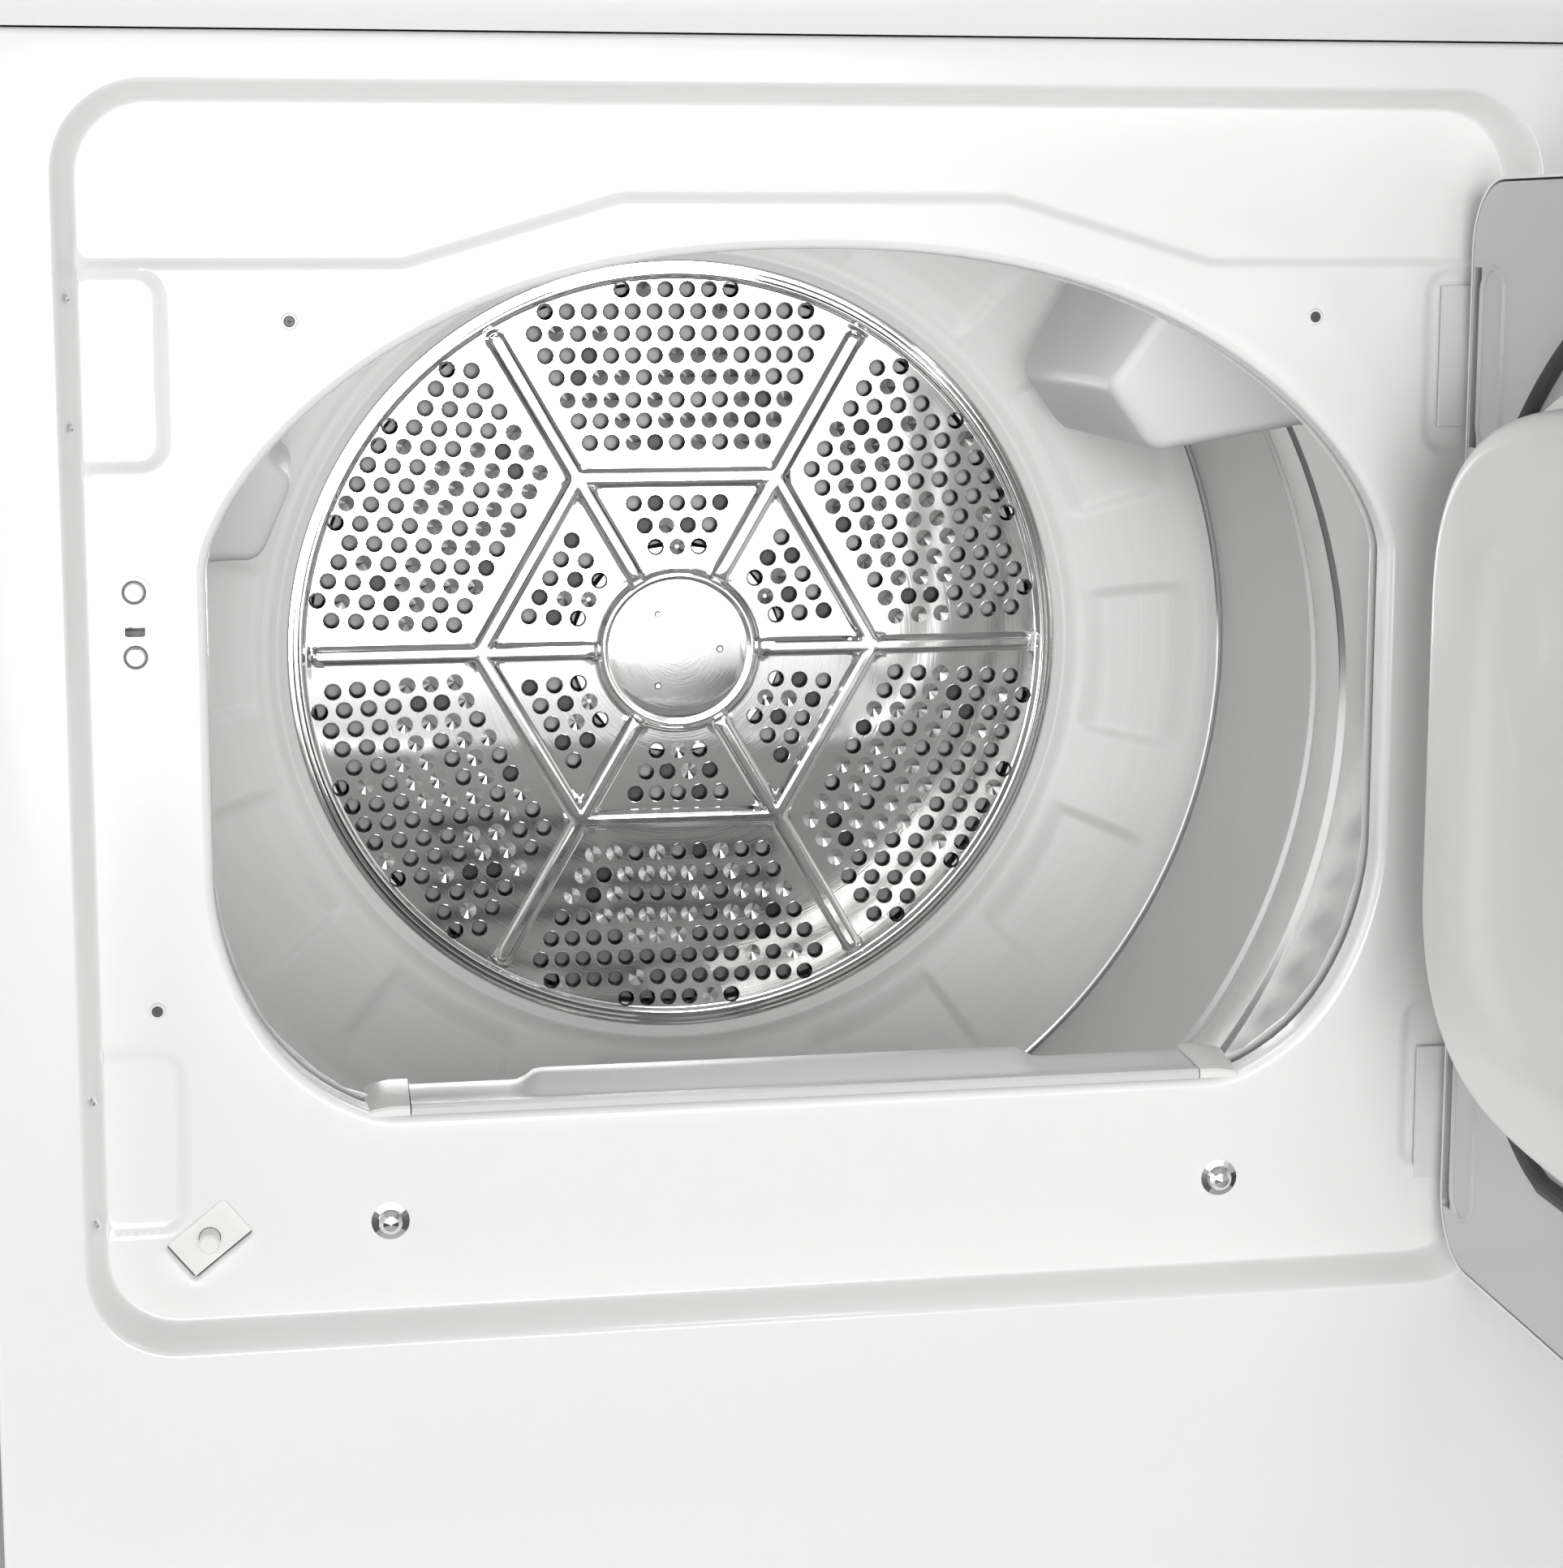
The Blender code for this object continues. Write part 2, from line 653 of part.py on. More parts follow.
def make_rear():
    half = HALF_WIDTH - SHEET - SEAT
    y = CABINET_DEPTH - SHEET - SEAT
    add_outline(
        "rear_panel",
        [
            rounded_rectangle(-half, half, FOOT_HEIGHT + PAN_FLANGE + SEAT, SEAM_Z - SEAT, 0.003, 1),
            circle(DUCT_RADIUS + 0.002, EXHAUST_X, EXHAUST_Z, 24),
            centred(TERMINAL_X, TERMINAL_Z, *TERMINAL_HOLE, 0.002, 1),
        ]
        + [
            centred(x, DRUM_AXIS_Z + rise, *LOUVRE, LOUVRE[1] / 2 - 0.0001, 2)
            for x in LOUVRE_XS
            for rise in LOUVRE_RISES
        ],
        depth(y - SHEET),
        depth(y),
        "galvanised",
    )
    width, reach, height = TERMINAL_COVER
    half, rise = width / 2, height / 2
    cover = add_box(
        "terminal_cover",
        (TERMINAL_X - half, depth(y + SEAT), TERMINAL_Z - rise),
        (TERMINAL_X + half, depth(y + reach), TERMINAL_Z + rise),
        "galvanised",
    )
    hollow = add_box(
        "terminal_hollow",
        (TERMINAL_X - half + SHEET, depth(y - 0.01), TERMINAL_Z - rise + SHEET),
        (TERMINAL_X + half - SHEET, depth(y + reach - SHEET), TERMINAL_Z + rise - SHEET),
        None,
        cutter=True,
    )
    cord_hole = add_cylinder(
        "cord_hole",
        (TERMINAL_X, depth(y + reach / 2), TERMINAL_Z - rise),
        CORD_HOLE_RADIUS,
        0.02,
        (0, 0, 1),
        None,
        cutter=True,
    )
    cut(cover, hollow, cord_hole)
    width, reach, height = TERMINAL_BLOCK
    add_box(
        "terminal_block",
        (TERMINAL_X - width / 2, depth(y - SHEET - SEAT - reach), TERMINAL_Z - height / 2),
        (TERMINAL_X + width / 2, depth(y - SHEET - SEAT), TERMINAL_Z + height / 2),
        "black_plastic",
    )


def make_top_cover():
    outline = rounded_rectangle(-HALF_WIDTH, HALF_WIDTH, depth(-0.002), depth(CABINET_DEPTH), 0.012, 3)
    inset = 0.006
    crown = rounded_rectangle(
        -HALF_WIDTH + inset,
        HALF_WIDTH - inset,
        depth(-0.002 + inset),
        depth(CABINET_DEPTH - inset),
        0.012 - inset / 2,
        3,
    )
    loops = [[Vector((x, y, SEAM_Z + 0.0015)) for x, y in outline]]
    loops.append([Vector((x, y, CABINET_TOP - inset)) for x, y in outline])
    loops.append([Vector((x, y, CABINET_TOP)) for x, y in crown])
    add_shell("top_cover", loops, Vector((0, 0, 1)), SHEET, "enamel")


def make_front_panel():
    low, high = FOOT_HEIGHT, SEAM_Z - SEAT
    edge = rounded_rectangle(-HALF_WIDTH, HALF_WIDTH, low, high, 0.003, 1)
    top, bottom = DRUM_AXIS_Z + RECESS_TOP_RISE, DRUM_AXIS_Z + RECESS_BOTTOM_RISE
    run = RECESS_WALL_RUN
    rim = rounded_rectangle(-RECESS_HALF, RECESS_HALF, bottom, top, RECESS_CORNER, 6)
    floor = rounded_rectangle(
        -RECESS_HALF + run, RECESS_HALF - run, bottom + run, top - run, RECESS_CORNER - run, 6
    )
    panel = add_shell(
        "front_panel",
        [
            at(edge, SHEET),
            at(edge, 0),
            at(rim, 0),
            at(floor, FLOOR_Y),
            at(opening_outline(), FLOOR_Y),
            at(opening_outline(), FLOOR_Y + OPENING_FLANGE),
        ],
        FORWARD,
        SHEET,
        "enamel",
        cap=False,
    )
    catch_hole = add_box(
        "catch_hole",
        (CATCH_X - CATCH_HOLE[0] / 2, depth(FLOOR_Y - 0.01), DRUM_AXIS_Z + CATCH_RISE - CATCH_HOLE[1] / 2),
        (CATCH_X + CATCH_HOLE[0] / 2, depth(FLOOR_Y + 0.01), DRUM_AXIS_Z + CATCH_RISE + CATCH_HOLE[1] / 2),
        None,
        cutter=True,
    )
    switch_hole = add_box(
        "switch_hole",
        (-SWITCH_SIZE[0] / 2 - SEAT, -0.01, -SWITCH_SIZE[1] / 2 - SEAT),
        (SWITCH_SIZE[0] / 2 + SEAT, 0.01, SWITCH_SIZE[1] / 2 + SEAT),
        None,
        cutter=True,
    )
    switch_hole.location = (SWITCH_X, depth(FLOOR_Y), DRUM_AXIS_Z + SWITCH_RISE)
    switch_hole.rotation_euler = (0, -radians(SWITCH_TILT), 0)
    mouth = add_box(
        "filter_mouth",
        (-FILTER_HALF - 0.004, depth(FLOOR_Y + SHEET + 0.001), SILL_Z - 0.03),
        (FILTER_HALF + 0.004, depth(DUCT_BACK_Y), SILL_Z + 0.002),
        None,
        cutter=True,
    )
    cut(panel, catch_hole, switch_hole, mouth)
    for side, x in (("left", -SCREW_X), ("right", SCREW_X)):
        hole = add_cylinder(
            f"panel_screw_hole_{side}",
            (x, depth(FLOOR_Y), DRUM_AXIS_Z + SCREW_RISE),
            SCREW_SHANK_RADIUS + SEAT,
            0.02,
            (0, 1, 0),
            None,
            steps=16,
            cutter=True,
        )
        cut(panel, hole)
        add_turned(
            f"panel_screw_{side}",
            [
                (0, -0.0065),
                (SCREW_HEAD_RADIUS * 0.6, -0.0056),
                (SCREW_HEAD_RADIUS * 0.92, -0.0036),
                (SCREW_HEAD_RADIUS, -0.0014),
                (SCREW_HEAD_RADIUS * 1.5, -0.0010),
                (SCREW_HEAD_RADIUS * 1.5, -SEAT),
                (SCREW_SHANK_RADIUS, -SEAT),
                (SCREW_SHANK_RADIUS, 0.012),
                (0, 0.013),
            ],
            (x, depth(FLOOR_Y), DRUM_AXIS_Z + SCREW_RISE),
            "chrome",
            steps=20,
        )


def make_bulkhead():
    """The plate behind the front panel that carries the drum's front edge on its collar."""
    half = HALF_WIDTH - SHEET - 0.004
    low = DRUM_AXIS_Z - COLLAR_RADIUS - 0.030
    width, height = SLOT_SIZE
    slot_high = SILL_Z - SLOT_DROP
    slot_low = DRUM_AXIS_Z - COLLAR_RADIUS + SLOT_MARGIN
    rows = int((slot_high - slot_low) / SLOT_PITCH + 1e-6) + 1
    slots = [
        centred(side * (width / 2 + 0.004), slot_high - row * SLOT_PITCH, width, height, 0.004, 2)
        for row in range(rows)
        for side in (-1, 1)
    ]
    bulkhead = add_outline(
        "front_bulkhead",
        [rounded_rectangle(-half, half, low, SEAM_Z - 0.012, 0.010, 2), opening_outline(), *slots],
        depth(BULKHEAD_Y),
        depth(BULKHEAD_Y + SHEET),
        "enamel",
    )
    collar = add_turned(
        "bulkhead_collar",
        [
            (COLLAR_RADIUS - SHEET, BULKHEAD_Y + SHEET / 2),
            (COLLAR_RADIUS, BULKHEAD_Y + SHEET / 2),
            (COLLAR_RADIUS, BULKHEAD_Y + COLLAR_DEPTH),
            (COLLAR_RADIUS - SHEET, BULKHEAD_Y + COLLAR_DEPTH),
        ],
        (0, depth(0), DRUM_AXIS_Z),
        "enamel",
        closed=True,
        steps=DRUM_STEPS,
    )
    join(bulkhead, collar)
    for side, start in (("right", GLIDE_SPAN[0]), ("left", 180 - GLIDE_SPAN[1])):
        low_r = COLLAR_RADIUS + 2 * SEAT
        high_r = low_r + GLIDE_THICKNESS
        span = GLIDE_SPAN[1] - GLIDE_SPAN[0]
        steps = 8
        angles = [radians(start + span * i / steps) for i in range(steps + 1)]
        outline = [(high_r * cos(a), DRUM_AXIS_Z + high_r * sin(a)) for a in angles]
        outline += [(low_r * cos(a), DRUM_AXIS_Z + low_r * sin(a)) for a in reversed(angles)]
        add_outline(
            f"drum_glide_{side}",
            [outline],
            depth(DRUM_FRONT_Y + 0.001),
            depth(DRUM_FRONT_Y + LIP_DEPTH),
            "white_plastic",
        )
    felt_low = BULKHEAD_Y + SHEET + SEAT
    add_turned(
        "front_felt_seal",
        [
            (LIP_RADIUS, felt_low),
            (DRUM_RADIUS - 0.004, felt_low),
            (DRUM_RADIUS - 0.004, DRUM_FRONT_Y - SEAT),
            (LIP_RADIUS, DRUM_FRONT_Y - SEAT),
        ],
        (0, depth(0), DRUM_AXIS_Z),
        "felt",
        closed=True,
        steps=DRUM_STEPS,
    )


# ---- Catch and door switch --------------------------------------------------------------
def make_catch():
    z = DRUM_AXIS_Z + CATCH_RISE
    width, height, thickness = CATCH_PLATE
    add_outline(
        "catch_plate",
        [
            centred(CATCH_X, z, width, height, width / 2 - 1e-4),
            centred(CATCH_X, z, *CATCH_SLOT, 0.001, 1),
        ],
        depth(FLOOR_Y - SEAT - thickness),
        depth(FLOOR_Y - SEAT),
        "white_plastic",
    )
    width, length, height = CLIP_SIZE
    half = width / 2 - CLIP_WALL
    clip = add_box(
        "catch_clip",
        (CATCH_X - width / 2, depth(FLOOR_Y), z - height / 2),
        (CATCH_X + width / 2, depth(FLOOR_Y + length), z + height / 2),
        "chrome",
    )
    channel = add_box(
        "clip_channel",
        (CATCH_X - half, depth(FLOOR_Y - 0.005), z - height),
        (CATCH_X + half, depth(FLOOR_Y + length - CLIP_WALL), z + height),
        None,
        cutter=True,
    )
    cut(clip, channel)


def make_switch():
    """The switch sits square to its tilted pocket, and its face is the pocket's floor."""
    place = Vector((SWITCH_X, depth(FLOOR_Y + SWITCH_POCKET), DRUM_AXIS_Z + SWITCH_RISE))
    width, height, length = SWITCH_SIZE
    body = add_box(
        "door_switch_body", (-width / 2, 0, -height / 2), (width / 2, length, height / 2), "white_plastic"
    )
    body.location = place
    body.rotation_euler = (0, -radians(SWITCH_TILT), 0)
    bore = add_cylinder(
        "plunger_bore",
        place + Vector((0, length / 2, 0)),
        PLUNGER_RADIUS + SEAT,
        length + 0.02,
        (0, 1, 0),
        None,
        steps=20,
        cutter=True,
    )
    cut(body, bore)
    tip = DOOR_BACK_Y + PLUNGER_CLEAR_OF_DOOR
    end = FLOOR_Y + SWITCH_POCKET + length - PLUNGER_TRAVEL - 0.003
    add_turned(
        "door_switch_plunger",
        [
            (0, tip),
            (PLUNGER_RADIUS - 0.0008, tip),
            (PLUNGER_RADIUS, tip + 0.0008),
            (PLUNGER_RADIUS, end),
            (0, end),
        ],
        (SWITCH_X, depth(0), DRUM_AXIS_Z + SWITCH_RISE),
        "white_plastic",
        steps=20,
    )


# ---- Drum -------------------------------------------------------------------------------
def make_drum():
    centre = (0, depth(0), DRUM_AXIS_Z)
    inner, t = DRUM_RADIUS, DRUM_SHEET
    outside = [(inner + t, DRUM_FRONT_Y)]
    inside = [(inner, DRUM_FRONT_Y + t)]
    for y in BEAD_YS:
        bead = [(0, y - BEAD_HALF), (BEAD_RISE, y - BEAD_HALF / 2), (BEAD_RISE, y + BEAD_HALF / 2)]
        bead.append((0, y + BEAD_HALF))
        outside += [(inner + t + rise, place) for rise, place in bead]
        inside += [(inner + rise, place) for rise, place in bead]
    outside.append((inner + t, DRUM_REAR_Y))
    inside.append((inner, DRUM_REAR_Y))
    lip = [
        (LIP_RADIUS + t, DRUM_FRONT_Y + t),
        (LIP_RADIUS + t, DRUM_FRONT_Y + LIP_DEPTH),
        (LIP_RADIUS, DRUM_FRONT_Y + LIP_DEPTH),
        (LIP_RADIUS, DRUM_FRONT_Y),
    ]
    profile = outside + inside[::-1] + lip
    add_turned("drum_shell", profile, centre, "drum_steel", closed=True, steps=DRUM_STEPS)

    seat = DIFFUSER_Y + DIFFUSER_THICKNESS + SEAT
    edge = DIFFUSER_RADIUS + SEAT
    start = DRUM_REAR_Y + SEAT
    add_turned(
        "drum_back_ring",
        [
            (inner + t, start),
            (inner - 0.001, start),
            (edge, DIFFUSER_Y - 0.002),
            (edge, seat),
            (edge - RIM_SEAT, seat),
            (edge - RIM_SEAT, seat + t),
            (edge + t, seat + t),
            (edge + t, DIFFUSER_Y - 0.001),
            (inner, start + 0.0022),
            (inner + t, start + 0.0022),
        ],
        centre,
        "drum_steel",
        closed=True,
        steps=DRUM_STEPS,
    )
    add_turned(
        "drum_diffuser",
        [
            (0, DIFFUSER_Y),
            (DIFFUSER_RADIUS, DIFFUSER_Y),
            (DIFFUSER_RADIUS, DIFFUSER_Y + DIFFUSER_THICKNESS),
            (0, DIFFUSER_Y + DIFFUSER_THICKNESS),
        ],
        centre,
        "polished_steel",
        steps=DRUM_STEPS,
    )
    shaft_end = HEATER_WEB_Y + 0.034
    add_turned(
        "drum_shaft",
        [
            (0, seat),
            (HUB_RADIUS, seat),
            (HUB_RADIUS, seat + 0.003),
            (0.024, seat + 0.006),
            (SHAFT_RADIUS, seat + 0.012),
            (SHAFT_RADIUS, shaft_end),
            (0, shaft_end),
        ],
        centre,
        "steel",
    )
    for number, angle in enumerate(BAFFLE_ANGLES, 1):
        make_baffle(f"drum_baffle_{number}", radians(angle))


def make_baffle(name, angle):
    """A wedge from the drum wall to its ridge, built at the drum's top and turned to its place."""
    wall = (DRUM_RADIUS - 0.0010) * cos(pi / DRUM_STEPS)
    base_height = (wall**2 - BAFFLE_BASE_HALF**2) ** 0.5
    bm = bmesh.new()
    rings = []
    for half, ys, height in (
        (BAFFLE_BASE_HALF, BAFFLE_BASE_Y, base_height),
        (BAFFLE_RIDGE_HALF, BAFFLE_RIDGE_Y, BAFFLE_RIDGE_RADIUS),
    ):
        corners = [(-half, ys[0]), (half, ys[0]), (half, ys[1]), (-half, ys[1])]
        rings.append([bm.verts.new((x, y, height)) for x, y in corners])
    for i in range(4):
        j = (i + 1) % 4
        bm.faces.new((rings[0][i], rings[0][j], rings[1][j], rings[1][i]))
    bm.faces.new(rings[0])
    bm.faces.new(rings[1])
    bmesh.ops.recalc_face_normals(bm, faces=bm.faces)
    obj = add_mesh(name, bm, "grey_plastic", (0, depth(0), DRUM_AXIS_Z))
    obj.rotation_euler = (0, pi / 2 - angle, 0)
    bevel(obj, 0.004)


# ---- Heater, bearing --------------------------------------------------------------------
def make_heater():
    centre = (0, depth(0), DRUM_AXIS_Z)
    back = CABINET_DEPTH - 2 * SHEET - 2 * SEAT
    wall = HEATER_RADIUS
    add_turned(
        "heater_housing",
        [
            (wall + HEATER_FLANGE, back),
            (wall + HEATER_FLANGE, back - SHEET),
            (wall + SHEET, back - SHEET),
            (wall + SHEET, HEATER_FRONT_Y),
            (wall, HEATER_FRONT_Y),
            (wall, HEATER_WEB_Y),
            (BEARING_RADIUS + 0.004, HEATER_WEB_Y),
            (BEARING_RADIUS + 0.004, HEATER_WEB_Y + SHEET),
            (wall, HEATER_WEB_Y + SHEET),
            (wall, back),
        ],
        centre,
        "galvanised",
        closed=True,
        steps=DRUM_STEPS,
    )
    seat = HEATER_WEB_Y + SHEET + SEAT
    front, back = seat - BEARING_BORE_LENGTH / 3, seat + BEARING_BORE_LENGTH * 2 / 3
    add_turned(
        "rear_bearing",
        [
            (SHAFT_RADIUS + SHAFT_RUNNING, front),
            (BEARING_RADIUS, front),
            (BEARING_RADIUS, seat),
            (BEARING_FLANGE, seat),
            (BEARING_FLANGE, seat + 0.003),
            (BEARING_RADIUS, seat + 0.006),
            (BEARING_RADIUS, back),
            (SHAFT_RADIUS + SHAFT_RUNNING, back),
        ],
        centre,
        "steel",
        closed=True,
        steps=32,
    )
    wire = []
    for i in range(2 * COIL_WAVES):
        angle = 2 * pi * i / (2 * COIL_WAVES)
        radius = COIL_RADIUS + COIL_WAVE * (1 if i % 2 else -1)
        y = (HEATER_FRONT_Y + HEATER_WEB_Y) / 2
        wire.append((radius * cos(angle), depth(y), DRUM_AXIS_Z + radius * sin(angle)))
    add_tube("heater_coil", wire, COIL_WIRE, "heating_wire", cyclic=True)


# ---- Lint filter, duct, blower ----------------------------------------------------------
def make_lint_filter():
    y_mid = (FLOOR_Y + SHEET + DUCT_BACK_Y) / 2 + 0.001
    front, back = y_mid - FILTER_THICKNESS / 2, y_mid + FILTER_THICKNESS / 2
    handle_low = SILL_Z + SEAT
    low = SILL_Z - FILTER_HEIGHT
    frame = add_box(
        "lint_filter_frame",
        (-FILTER_HALF, depth(front), low),
        (FILTER_HALF, depth(back), handle_low + 0.001),
        "grey_plastic",
    )
    window = add_box(
        "filter_window",
        (-FILTER_HALF + FILTER_RIM, depth(front - 0.01), low + FILTER_RIM),
        (FILTER_HALF - FILTER_RIM, depth(back + 0.01), SILL_Z - FILTER_TOP_RAIL),
        None,
        cutter=True,
    )
    handle = add_box(
        "filter_handle",
        (-HANDLE_HALF, depth(FLOOR_Y + SEAT), handle_low),
        (HANDLE_HALF, depth(FLOOR_Y + HANDLE_DEPTH), handle_low + HANDLE_THICKNESS),
        "grey_plastic",
    )
    join(cut(frame, window), handle)
    add_box(
        "lint_filter_mesh",
        (-FILTER_HALF + FILTER_RIM + SEAT, depth(y_mid - FILTER_SCREEN / 2), low + FILTER_RIM + SEAT),
        (FILTER_HALF - FILTER_RIM - SEAT, depth(y_mid + FILTER_SCREEN / 2), SILL_Z - FILTER_TOP_RAIL - SEAT),
        "black_plastic",
    )


def make_lint_duct():
    """Open towards the bulkhead's grille above, and a box with a round outlet below."""
    front = FLOOR_Y + SHEET + 2 * SEAT
    low, high = DUCT_BOX_Z
    top = SILL_Z - SHEET - 2 * SEAT
    back = BLOWER_Y[0] - SEAT
    box_low_x, box_high_x = MOTOR_X - DUCT_BOX_HALF, MOTOR_X + DUCT_BOX_HALF
    wall = PLASTIC
    upper_low = high - 0.010
    duct = add_box(
        "lint_duct",
        (-DUCT_HALF, depth(front), upper_low),
        (DUCT_HALF, depth(DUCT_BACK_Y), top),
        "grey_plastic",
    )
    lower = add_box(
        "duct_box",
        (box_low_x, depth(front), low),
        (box_high_x, depth(back), high),
        "grey_plastic",
    )
    upper_hollow = add_box(
        "duct_hollow",
        (-DUCT_HALF + wall, depth(front + wall), upper_low + wall),
        (DUCT_HALF - wall, depth(DUCT_BACK_Y + 0.01), top + 0.01),
        None,
        cutter=True,
    )
    lower_hollow = add_box(
        "duct_box_hollow",
        (box_low_x + wall, depth(front + wall), low + wall),
        (box_high_x - wall, depth(back - wall), high - wall),
        None,
        cutter=True,
    )
    passage = add_box(
        "duct_passage",
        (box_low_x + wall, depth(front + wall), high - 0.02),
        (DUCT_HALF - wall, depth(DUCT_BACK_Y - 0.0005), high + 0.004),
        None,
        cutter=True,
    )
    outlet = add_cylinder(
        "duct_outlet",
        (MOTOR_X, depth(back), MOTOR_Z),
        DUCT_OUTLET_RADIUS,
        0.02,
        (0, 1, 0),
        None,
        cutter=True,
    )
    join(duct, lower)
    cut(duct, upper_hollow, lower_hollow, passage, outlet)


def make_blower():
    """A drum-shaped scroll with a side outlet. The wheel sits on the motor's front shaft end."""
    front, back = BLOWER_Y
    wall = PLASTIC
    mid = (front + back) / 2
    housing = add_cylinder(
        "blower_housing",
        (MOTOR_X, depth(mid), MOTOR_Z),
        BLOWER_CASE_RADIUS,
        back - front,
        (0, 1, 0),
        "grey_plastic",
        steps=40,
    )
    spout = add_box(
        "blower_spout",
        (EXHAUST_X + DUCT_RADIUS, depth(front), SPOUT_Z),
        (MOTOR_X, depth(back), SPOUT_Z + SPOUT_HEIGHT),
        "grey_plastic",
    )
    hollow = add_cylinder(
        "blower_hollow",
        (MOTOR_X, depth(mid), MOTOR_Z),
        BLOWER_CASE_RADIUS - wall,
        back - front - 2 * wall,
        (0, 1, 0),
        None,
        steps=40,
        cutter=True,
    )
    spout_hollow = add_box(
        "blower_spout_hollow",
        (EXHAUST_X + DUCT_RADIUS - 0.01, depth(front + wall), SPOUT_Z + wall),
        (MOTOR_X, depth(back - wall), SPOUT_Z + SPOUT_HEIGHT - wall),
        None,
        cutter=True,
    )
    inlet = add_cylinder(
        "blower_inlet",
        (MOTOR_X, depth(front), MOTOR_Z),
        DUCT_OUTLET_RADIUS,
        0.02,
        (0, 1, 0),
        None,
        cutter=True,
    )
    shaft_hole = add_cylinder(
        "blower_shaft_hole",
        (MOTOR_X, depth(back), MOTOR_Z),
        MOTOR_SHAFT_RADIUS + 0.003,
        0.02,
        (0, 1, 0),
        None,
        steps=16,
        cutter=True,
    )
    join(housing, spout)
    cut(housing, hollow, spout_hollow, inlet, shaft_hole)

    add_turned(
        "blower_wheel",
        [
            (MOTOR_SHAFT_RADIUS + SEAT, front + 0.018),
            (0.016, front + 0.018),
            (0.020, back - 0.010),
            (BLOWER_RADIUS - PLASTIC, back - 0.010),
            (BLOWER_RADIUS - PLASTIC, front + 0.006),
            (BLOWER_RADIUS, front + 0.006),
            (BLOWER_RADIUS, back - 0.008),
            (MOTOR_SHAFT_RADIUS + SEAT, back - 0.008),
        ],
        (MOTOR_X, depth(0), MOTOR_Z),
        "black_plastic",
        closed=True,
        steps=32,
    )


def make_exhaust():
    """A box that takes the blower's spout, and a round pipe out through the rear panel."""
    front, back = BLOWER_Y
    half = DUCT_RADIUS
    join_x = EXHAUST_X + half - SEAT
    pipe_end = CABINET_DEPTH + DUCT_OUTSIDE
    pipe = add_cylinder(
        "exhaust_duct",
        (EXHAUST_X, depth((back + pipe_end) / 2), EXHAUST_Z),
        half,
        pipe_end - back,
        (0, 1, 0),
        "galvanised",
        steps=32,
    )
    box = add_box(
        "exhaust_box",
        (EXHAUST_X - half, depth(front), SPOUT_Z),
        (join_x, depth(back + 0.004), EXHAUST_Z + half + 0.002),
        "galvanised",
    )
    pipe_hollow = add_cylinder(
        "pipe_hollow",
        (EXHAUST_X, depth((back + pipe_end) / 2), EXHAUST_Z),
        half - SHEET,
        pipe_end - back + 0.03,
        (0, 1, 0),
        None,
        steps=32,
        cutter=True,
    )
    box_hollow = add_box(
        "exhaust_box_hollow",
        (EXHAUST_X - half + SHEET, depth(front + SHEET), SPOUT_Z + SHEET),
        (join_x - SHEET, depth(back + 0.004 - SHEET), EXHAUST_Z + half + 0.002 - SHEET),
        None,
        cutter=True,
    )
    spout_hole = add_box(
        "spout_hole",
        (join_x - 0.01, depth(front + PLASTIC), SPOUT_Z + PLASTIC),
        (join_x + 0.01, depth(back - PLASTIC), SPOUT_Z + SPOUT_HEIGHT - PLASTIC),
        None,
        cutter=True,
    )
    join(pipe, box)
    cut(pipe, box_hollow, spout_hole, pipe_hollow)


# ---- Motor, idler, belt -----------------------------------------------------------------
def make_motor():
    front, back = MOTOR_Y
    centre = (MOTOR_X, depth(0), MOTOR_Z)
    bore = MOTOR_SHAFT_RADIUS + SEAT
    boss, boss_length = MOTOR_BOSS
    add_turned(
        "motor_housing",
        [
            (bore, front - boss_length),
            (boss, front - boss_length),
            (boss, front),
            (MOTOR_RADIUS - MOTOR_ROUND, front),
            (MOTOR_RADIUS, front + MOTOR_ROUND),
            (MOTOR_RADIUS, back - MOTOR_ROUND),
            (MOTOR_RADIUS - MOTOR_ROUND, back),
            (boss, back),
            (boss, back + boss_length),
            (bore, back + boss_length),
        ],
        centre,
        "steel",
        closed=True,
        steps=32,
    )
    shaft_front = BLOWER_Y[0] + 0.016
    half = BELT_WIDTH / 2 + 0.001
    flange, flange_width = PULLEY_RADIUS + PULLEY_FLANGE[0], PULLEY_FLANGE[1]
    add_turned(
        "motor_shaft",
        [
            (0, shaft_front),
            (MOTOR_SHAFT_RADIUS, shaft_front),
            (MOTOR_SHAFT_RADIUS, BELT_Y - half - flange_width),
            (flange, BELT_Y - half - flange_width),
            (flange, BELT_Y - half),
            (PULLEY_RADIUS, BELT_Y - half),
            (PULLEY_RADIUS, BELT_Y + half),
            (flange, BELT_Y + half),
            (flange, BELT_Y + half + flange_width),
            (0, BELT_Y + half + flange_width),
        ],
        centre,
        "steel",
        steps=28,
    )
    pan_top = FOOT_HEIGHT + SHEET
    bracket = add_box(
        "motor_bracket",
        (MOTOR_X - BRACKET_HALF, depth(front + 0.012), pan_top + SEAT),
        (MOTOR_X + BRACKET_HALF, depth(back - 0.012), MOTOR_Z - boss),
        "galvanised",
    )
    cradle = add_cylinder(
        "motor_cradle",
        (MOTOR_X, depth((front + back) / 2), MOTOR_Z),
        MOTOR_RADIUS + 2 * SEAT,
        0.2,
        (0, 1, 0),
        None,
        steps=32,
        cutter=True,
    )
    under = add_box(
        "bracket_under",
        (MOTOR_X - BRACKET_HALF + 2 * SHEET, depth(front), pan_top - 0.01),
        (MOTOR_X + BRACKET_HALF - 2 * SHEET, depth(back), MOTOR_Z - MOTOR_RADIUS - 0.008),
        None,
        cutter=True,
    )
    cut(bracket, cradle, under)


